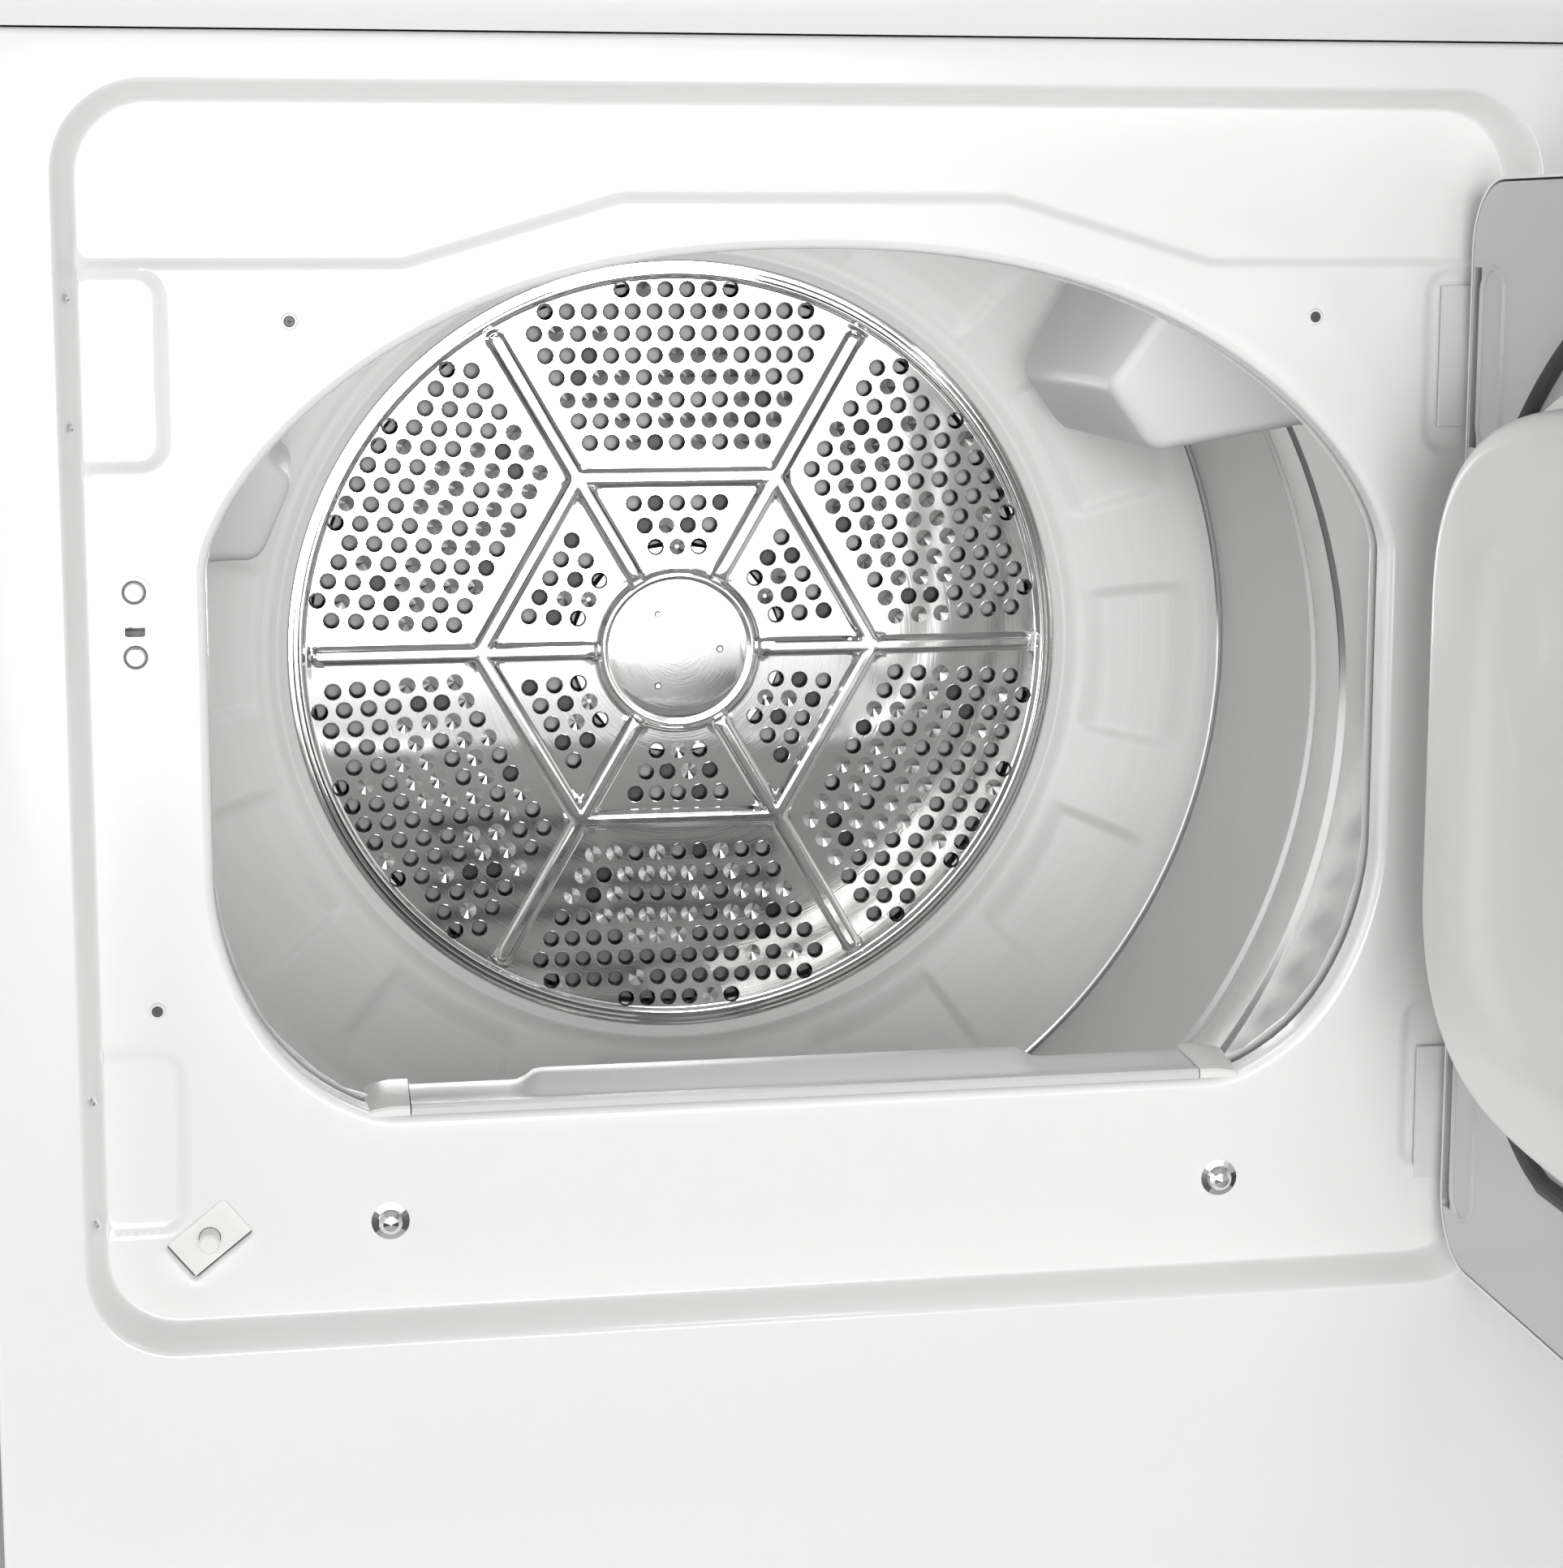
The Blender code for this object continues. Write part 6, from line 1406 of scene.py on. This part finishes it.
# ---- Door ---------------------------------------------------------------------------------
@dataclass
class Door:
    """The door, modelled closed and swung open about its hinge pins."""

    half: float = 0.295
    top: float = 0.2595
    bottom: float = -0.2130
    corner: float = 0.030
    roundness: float = 0.006
    rear: float = 0.014
    front: float = -0.007
    hinge: Flat = (0.290, 0.004)
    hinge_top: float = 0.184
    hinge_bottom: float = -0.1515
    hinge_x: float = 0.2715
    notch_half: float = 0.038
    liner_half: float = 0.2455
    liner_top: float = 0.177
    liner_bottom: float = -0.121
    liner_draft: float = 0.0035
    liner_soft: float = 0.0125
    bulge: float = 0.0385
    opening: Opening = field(default_factory=Opening)

    def swing(self) -> Matrix:
        """Turns what is modelled closed to its open place."""
        pin = DATUM.place(self.hinge[0], self.hinge[1], 0)
        return Matrix.Translation(pin) @ Matrix.Rotation(pi / 2, 4, "Z") @ Matrix.Translation(-pin)

    def _outline(self, inset: float) -> list[Flat]:
        """The door's outline, moved in."""
        size = (self.half - inset, (self.top - self.bottom) / 2 - inset)
        return rounded_box(size, self.corner - inset, 10, (0.0, (self.top + self.bottom) / 2))

    def _liner(self, grow: float) -> list[Flat]:
        """The liner's outline, or one around it."""
        return arched(self.liner_half + grow, self.liner_top + grow, 0.085, (5.0, 2.5), -0.030,
                      -0.030 - self.liner_bottom + grow, (6.0, 2.2), self.liner_bottom - grow)

    def _notched(self, outline: list[Flat]) -> list[Flat]:
        """The outline with the hinge side cut back past the two barrels."""
        edge = self.hinge[0] - 0.006
        start = max(range(len(outline)), key=lambda i: (outline[i][0] > self.half - 0.004, -outline[i][1]))
        from_start = outline[start:] + outline[:start]
        x = from_start[0][0]
        path = [from_start[0]]
        for rise in (self.hinge_bottom, self.hinge_top):
            low, high = rise - self.notch_half, rise + self.notch_half
            path += [(x, low), (edge, low), (edge, high), (x, high)]
        return path + from_start[1:]

    def build(self) -> None:
        """Makes the outer panel, inner pan, liner and gasket."""
        swing = self.swing()
        loops = [stood(self._outline(0), self.rear)]
        loops += [stood(self._outline(self.roundness * inset), self.front + self.roundness * back)
                  for inset, back in quarter_round(6)]
        loops.append(stood(self._outline(0.030 - 0.002), self.front))
        outer = face_towards(loft(loops, cap_last=True), FORWARD)
        piece("door_skin", outer, ENAMEL, Body.DOOR, ("door_outer_panel",), 0.0012, 50, swing)
        # The pan's grey is painted shade on white enamel.
        pan = slab(self._notched(self._outline(0.0022)), [self._liner(0.004)], self.rear - 0.0012, self.rear)
        piece("door_pan", pan, SHADED_PAN_ENAMEL, Body.DOOR, ("door_inner_panel",), matrix=swing)
        self._build_liner(swing)
        section = ((0.0100, 0.0003), (0.0100, 0.0040), (0.0112, 0.0056), (0.0130, 0.0062),
                   (0.0150, 0.0050), (0.0180, 0.0026), (0.0186, 0.0003))
        gasket = [stood(self.opening.outline(grow), self.rear + y) for grow, y in section]
        bm = sealed([*gasket, gasket[0]])
        piece("door_gasket_moulded", bm, GASKET, Body.DOOR, ("door_gasket",), matrix=swing)

    def _build_liner(self, swing: Matrix) -> None:
        """The raised liner, with a soft edge round a face that sinks a little in its middle."""
        base, face = self.rear + 0.0023, self.rear + self.bulge
        draft, soft = self.liner_draft, self.liner_soft
        loops = [stood(self._liner(grow), base + y)
                 for grow, y in ((0.0085, -0.0018), (0.0080, 0.0), (0.0030, 0.0002), (0.0, 0.0030))]
        loops += [stood(self._liner(-draft - soft * inset), face - soft * back)
                  for inset, back in quarter_round(11)]
        edge, middle_rise = self._liner(-draft - soft), (self.liner_top + self.liner_bottom) / 2
        for scale, sink in ((0.92, 0.0001), (0.84, 0.0002), (0.81, 0.0010), (0.78, 0.0024),
                            (0.75, 0.0032), (0.6, 0.0034)):
            ring = [(x * scale, middle_rise + (z - middle_rise) * scale) for x, z in edge]
            loops.append(stood(ring, face - sink))
        liner = face_towards(loft(loops, cap_last=True), -FORWARD)
        piece("door_liner_moulded", liner, WHITE_PLASTIC, Body.DOOR, ("door_liner",), 0.0018, 50, swing)

    def dress(self) -> None:
        """Adds the raised rims round the hinge leaves."""
        section = ((0.0032, 0.0), (0.0022, 0.0011), (0.0012, 0.0012), (0.0004, 0.0002), (0.0004, -0.0008))
        for rise, name in ((self.hinge_top, "top"), (self.hinge_bottom, "bottom")):
            rims = []
            for grow, y in section:
                outline = rounded_box((0.0095 + grow, 0.036 + grow), 0.009 + grow, 8, (self.hinge_x, rise))
                rims.append(stood(outline, self.rear + y))
            rim = loft([*rims, [v - Vector((0, 0.0006, 0)) for v in rims[0]]])
            face_towards(rim, -FORWARD)
            # The rims share the pan's grey, which is painted shade on white enamel.
            piece(f"door_hinge_rim_{name}", rim, SHADED_PAN_ENAMEL, Body.DOOR, sheet=0.0005, matrix=self.swing())


# ---- Top cover ----------------------------------------------------------------------------
@dataclass
class TopCover:
    """The enamelled top, with its soft front edge."""

    front: float = -0.002
    rear: float = 0.640
    corner: float = 0.014
    soft: float = 0.009
    lip: float = 0.0006

    def _loop(self, inset: float, corner: float, z: float) -> list[Vector]:
        """The cover's outline, moved in, at a height above the floor."""
        size = (DATUM.half - inset, (self.rear - self.front) / 2 - inset)
        centre = (0.0, DATUM.front + (self.front + self.rear) / 2)
        return [Vector((x, y, z)) for x, y in rounded_box(size, corner, 8, centre)]

    def build(self) -> None:
        """Draws the cover as one skin."""
        edge = DATUM.seam + self.lip
        loops = [self._loop(0.0012, self.corner, edge), self._loop(0.0, self.corner, edge + 0.0012)]
        loops += [self._loop(self.soft * inset, self.corner - self.soft * inset, DATUM.top - self.soft * fall)
                  for inset, fall in quarter_round(8)]
        loops.append(self._loop(0.013, 0.003, DATUM.top))
        bm = face_towards(loft(loops, cap_last=True), Vector((0, 0, 1)))
        piece("top_cover_drawn", bm, ENAMEL, Body.CABINET, ("top_cover",), 0.0012, 50)


# ---- Console ------------------------------------------------------------------------------
@dataclass
class Console:
    """The control console, its knobs and its generic dial marks."""

    flutes: int = 24
    slope: tuple[float, float, float] = (0.0, -0.9436, 0.3312)
    face_y: float = 0.51033
    face_z: float = 0.9993
    knobs: tuple[tuple[str, Body, float, float], ...] = (
        ("cycle_knob", Body.CYCLE, 0.032, 0.022), ("temperature_knob", Body.TEMPERATURE, 0.021, 0.018))
    dials: tuple[tuple[str, float, int, float, float], ...] = (
        ("cycle_knob", 0.041, 24, -180, 165), ("temperature_knob", 0.028, 5, -45, 90))

    def build(self) -> None:
        """Softens the shell's edges and makes the knobs and the button."""
        name = "console_shell"
        bm = bmesh.new()
        bm.from_mesh(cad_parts[name].data)
        bmesh.ops.remove_doubles(bm, verts=bm.verts, dist=1e-6)
        bmesh.ops.dissolve_limit(bm, angle_limit=radians(1), verts=bm.verts, edges=bm.edges)
        low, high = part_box(name)
        sharp = [
            edge for edge in bm.edges
            if edge.is_manifold and edge.calc_face_angle() > radians(20) and edge.calc_length() > 0.03
            and all(abs(abs(v.co.x) - high.x) < 1e-4 for v in edge.verts) != (edge.calc_length() > 0.5)
            and max(v.co.z for v in edge.verts) > low.z + 0.002
            and min(v.co.y for v in edge.verts) < high.y - 0.004
        ]
        bmesh.ops.bevel(bm, geom=sharp, offset=0.0018, segments=3, affect="EDGES", profile=0.5)
        piece("console_shell_soft", bm, WHITE_PLASTIC, Body.CABINET, (name,), crease=40)
        for knob in self.knobs:
            self._knob(*knob)
        self._button()

    def _seat(self, name: str) -> Matrix:
        """Moves what is modelled on +Z to a control's place on the sloping face."""
        low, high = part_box(name)
        place = Vector(((low.x + high.x) / 2, self.face_y, self.face_z))
        turn = Vector((0, 0, 1)).rotation_difference(Vector(self.slope).normalized())
        return Matrix.Translation(place) @ turn.to_matrix().to_4x4()

    def _knob(self, name: str, body: Body, radius: float, height: float) -> None:
        """A fluted knob with a dished face and a raised pointer."""
        loops = []
        profile = (
            (0.003, -0.0075), (0.003, 0.001), (radius, 0.001), (radius, 0.003), (radius * 0.97, height * 0.5),
            (radius * 0.94, height - 0.003), (radius * 0.90, height - 0.0008), (radius * 0.86, height),
            (radius * 0.80, height), (radius * 0.74, height - 0.0012),
        )
        steps = self.flutes * 6
        for r, z in profile:
            fluted = 0.003 <= z < height - 0.001 and r > 0.01
            loop = []
            for i in range(steps):
                angle = 2 * pi * i / steps
                cut = 0.0012 * (0.5 - 0.5 * cos(self.flutes * angle)) if fluted else 0
                loop.append(Vector(((r - cut) * cos(angle), (r - cut) * sin(angle), z)))
            loops.append(loop)
        seat = self._seat(name)
        piece(f"{name}_fluted", closed(loops), WHITE_PLASTIC, body, (name,), matrix=seat)
        low = Vector((-0.0018, radius * 0.10, height - 0.0013))
        high = Vector((0.0018, radius * 0.70, height - 0.0003))
        piece(f"{name}_pointer", block(low, high, 0.0003), CONTROL_GREY, body, matrix=seat)

    def _button(self) -> None:
        """The start button, with a dished top."""
        radius, top = 0.014, 0.014
        profile = (
            (0.011, -0.0075), (0.011, 0.005), (radius, 0.005), (radius, top - 0.0022),
            (radius * 0.97, top - 0.0008), (radius * 0.90, top), (radius * 0.80, top - 0.0002),
            (radius * 0.5, top - 0.0010),
        )
        bm = closed([[Vector((x, y, z)) for x, y in circle(r, 48)] for r, z in profile])
        seat = self._seat("start_button")
        piece("start_button_dished", bm, CONTROL_GREY, Body.START, ("start_button",), matrix=seat)

    def dress(self) -> None:
        """Sets dots round each knob, evenly from one end of its turn to the other."""
        dots = []
        for name, radius, count, low, high in self.dials:
            seat = self._seat(name)
            for i in range(count):
                angle = radians(90 + low + (high - low) * i / (count - 1))
                dots.append(seat @ Vector((radius * cos(angle), radius * sin(angle), 0.0)))
        lean = Vector((0, 0, 1)).rotation_difference(Vector(self.slope)).to_euler()
        studded("dial_marks", dots, 12, (0.0013, 0.0011, 0.0003), CONTROL_GREY, Vector(lean))


# ---- Blower wheel -------------------------------------------------------------------------
@dataclass
class BlowerWheel:
    """The blower's wheel: a hub plate, a rim and curved blades."""

    x: float = 0.110
    z: float = 0.135
    blades: int = 28
    bore: float = 0.0063
    chord: float = 0.013

    def build(self) -> None:
        """Makes the wheel from the frame's box."""
        low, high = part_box("blower_wheel")
        front, rear = low.y, high.y
        outer = (high.x - low.x) / 2
        parts = [
            self._ring([(self.bore, rear - 0.0005), (self.bore, front + 0.012), (0.015, front + 0.012),
                        (0.018, rear - 0.003), (outer - 0.0005, rear - 0.003),
                        (outer - 0.0005, rear - 0.0005)]),
            self._ring([(outer - 0.006, front), (outer, front), (outer, front + 0.003),
                        (outer - 0.006, front + 0.003)]),
        ]
        for k in range(self.blades):
            parts.append(self._blade(2 * pi * k / self.blades, outer, front + 0.001, rear - 0.002))
        piece("blower_wheel_bladed", merged(parts), BLACK_PLASTIC_AND_SHADE, Body.ROTOR, ("blower_wheel",))

    def _ring(self, profile: Sequence[Flat]) -> bmesh.types.BMesh:
        """A closed profile turned about the motor's axis."""
        return sealed([
            [Vector((x, y, z)) for x, z in circle(r, 64, (self.x, self.z))] for r, y in [*profile, profile[0]]
        ])

    def _blade(self, angle: float, outer: float, front: float, rear: float) -> bmesh.types.BMesh:
        """One forward-curved blade near the rim."""
        line = [(outer - 0.014 + self.chord * i / 4, angle + 0.16 * (i / 4) ** 2) for i in range(5)]
        side = line + [(r, a + 0.0012 / r) for r, a in reversed(line)]
        return closed([
            [Vector((self.x + r * cos(a), y, self.z + r * sin(a))) for r, a in side] for y in (front, rear)
        ])


# ---- Studio -------------------------------------------------------------------------------
@dataclass
class Studio:
    """The floor, the soft lights, the pale surroundings and the camera."""

    camera_place: tuple[float, float, float] = (-0.2129, -1.2094, 0.7995)
    yaw: float = 9.025
    pitch: float = -7.98
    lens: float = 66.4
    shift: Flat = (0.015, -0.090)

    def build(self) -> None:
        """Sets everything that isn't the object."""
        self._card("studio_floor", 8, (2.65, 2.65), Vector(), Finish("pale_floor", "", (0.80,) * 3, 0.7))
        flag = self._card("studio_flag", 4, (1.6, 1.0), Vector((0, -1.65, 0.003)),
                          Finish("dark_flag", "", (0.05,) * 3, 0.8))
        flag.visible_camera = flag.visible_diffuse = flag.visible_shadow = False
        self._surroundings()
        self._lamp("front_key", (-0.12, -3.0, 0.75), (0, 0.2, 0.6), 1.3, 61)
        self._lamp("left_fill", (-2.4, -0.42, 0.9), (0.2, 0, 0.6), 1.6, 19)
        self._lamp("soft_top", (0.0, 0.4, 3.2), (0, 0, 0.5), 3.0, 1.5)
        self._lamp("drum_lamp", (0.03, 0.030, 0.800), (0.04, 0.40, 0.36), 0.16, 0.58)
        self._camera()
        bpy.context.scene.view_settings.view_transform = "Standard"

    def _card(self, name: str, cells: int, half: Flat, place: Vector, finish: Finish) -> bpy.types.Object:
        """A level sheet of the studio, such as its floor.

        Args:
            name: The card's name.
            cells: Squares along each side.
            half: Half its width and half its depth.
            place: Its middle.
            finish: What it is covered with.

        Returns:
            The card.
        """
        bm = bmesh.new()
        bmesh.ops.create_grid(bm, x_segments=cells, y_segments=cells, size=1.0)
        bmesh.ops.transform(bm, matrix=Matrix.Diagonal((*half, 1.0, 1.0)), verts=bm.verts)
        bmesh.ops.translate(bm, verts=bm.verts, vec=place)
        mesh = bpy.data.meshes.new(name)
        bm.to_mesh(mesh)
        bm.free()
        card = bpy.data.objects.new(name, mesh)
        bpy.context.scene.collection.objects.link(card)
        mesh.materials.append(finish.material())
        return card

    def _surroundings(self) -> None:
        """Bright above, and grey a little below the horizon."""
        world = bpy.data.worlds.new("soft_surroundings")
        bpy.context.scene.world = world
        world.use_nodes = True
        nodes, links = world.node_tree.nodes, world.node_tree.links
        place = nodes.new("ShaderNodeTexCoord")
        apart = nodes.new("ShaderNodeSeparateXYZ")
        levels = nodes.new("ShaderNodeValToRGB")
        levels.color_ramp.elements[0].position = 0.405
        levels.color_ramp.elements[0].color = (0.15, 0.15, 0.15, 1)
        levels.color_ramp.elements[1].position = 0.430
        levels.color_ramp.elements[1].color = (1, 1, 1, 1)
        scale = nodes.new("ShaderNodeMath")
        scale.operation = "MULTIPLY_ADD"
        scale.inputs[1].default_value = 0.5
        scale.inputs[2].default_value = 0.5
        links.new(place.outputs["Generated"], apart.inputs[0])
        links.new(apart.outputs["Z"], scale.inputs[0])
        links.new(scale.outputs[0], levels.inputs[0])
        rays = nodes.new("ShaderNodeLightPath")
        seen = nodes.new("ShaderNodeMix")
        seen.data_type = "RGBA"
        seen.inputs[7].default_value = (0.92, 0.92, 0.92, 1)
        links.new(rays.outputs["Is Camera Ray"], seen.inputs[0])
        links.new(levels.outputs[0], seen.inputs[6])
        links.new(seen.outputs[2], nodes["Background"].inputs[0])
        above = levels.color_ramp.elements.new(0.57)
        above.color = (1, 1, 1, 1)
        above = levels.color_ramp.elements.new(0.80)
        above.color = (0.38, 0.38, 0.38, 1)
        bright = nodes.new("ShaderNodeMath")
        bright.operation = "ADD"
        links.new(rays.outputs["Is Glossy Ray"], bright.inputs[0])
        links.new(rays.outputs["Is Camera Ray"], bright.inputs[1])
        power = nodes.new("ShaderNodeMath")
        power.operation = "MULTIPLY_ADD"
        power.inputs[1].default_value = 0.90
        power.inputs[2].default_value = 0.25
        links.new(bright.outputs[0], power.inputs[0])
        links.new(power.outputs[0], nodes["Background"].inputs[1])

    def _lamp(self, name: str, place: tuple, target: tuple, size: float, power: float) -> None:
        """A square soft box that faces a target."""
        light = bpy.data.lights.new(name, "AREA")
        light.size = size
        light.energy = power
        lamp = bpy.data.objects.new(name, light)
        lamp.location = place
        way = Vector(target) - Vector(place)
        lamp.rotation_euler = way.to_track_quat("-Z", "Y").to_euler()
        bpy.context.scene.collection.objects.link(lamp)

    def _camera(self) -> None:
        """The camera stands a little left of the opening and looks slightly down."""
        lens = bpy.data.cameras.new("camera")
        lens.lens = self.lens
        lens.sensor_fit = "AUTO"
        lens.shift_x, lens.shift_y = self.shift
        lens.clip_start = 0.01
        camera = bpy.data.objects.new("camera", lens)
        camera.location = self.camera_place
        camera.rotation_euler = (radians(90 + self.pitch), 0, radians(-self.yaw))
        bpy.context.scene.collection.objects.link(camera)
        bpy.context.scene.camera = camera


def main() -> None:
    """Builds the studio, dresses the frame's own pieces and makes the new ones."""
    logging.basicConfig(level=logging.INFO, format="%(name)s: %(message)s")
    Studio().build()
    dress_cad_nodes()
    for kind in (FrontPanel, DrumDisc, Drum, LintFilter, Door, TopCover, Console, BlowerWheel):
        assembly = kind()
        assembly.build()
        if hasattr(assembly, "dress"):
            assembly.dress()


if __name__ == "__main__":
    main()
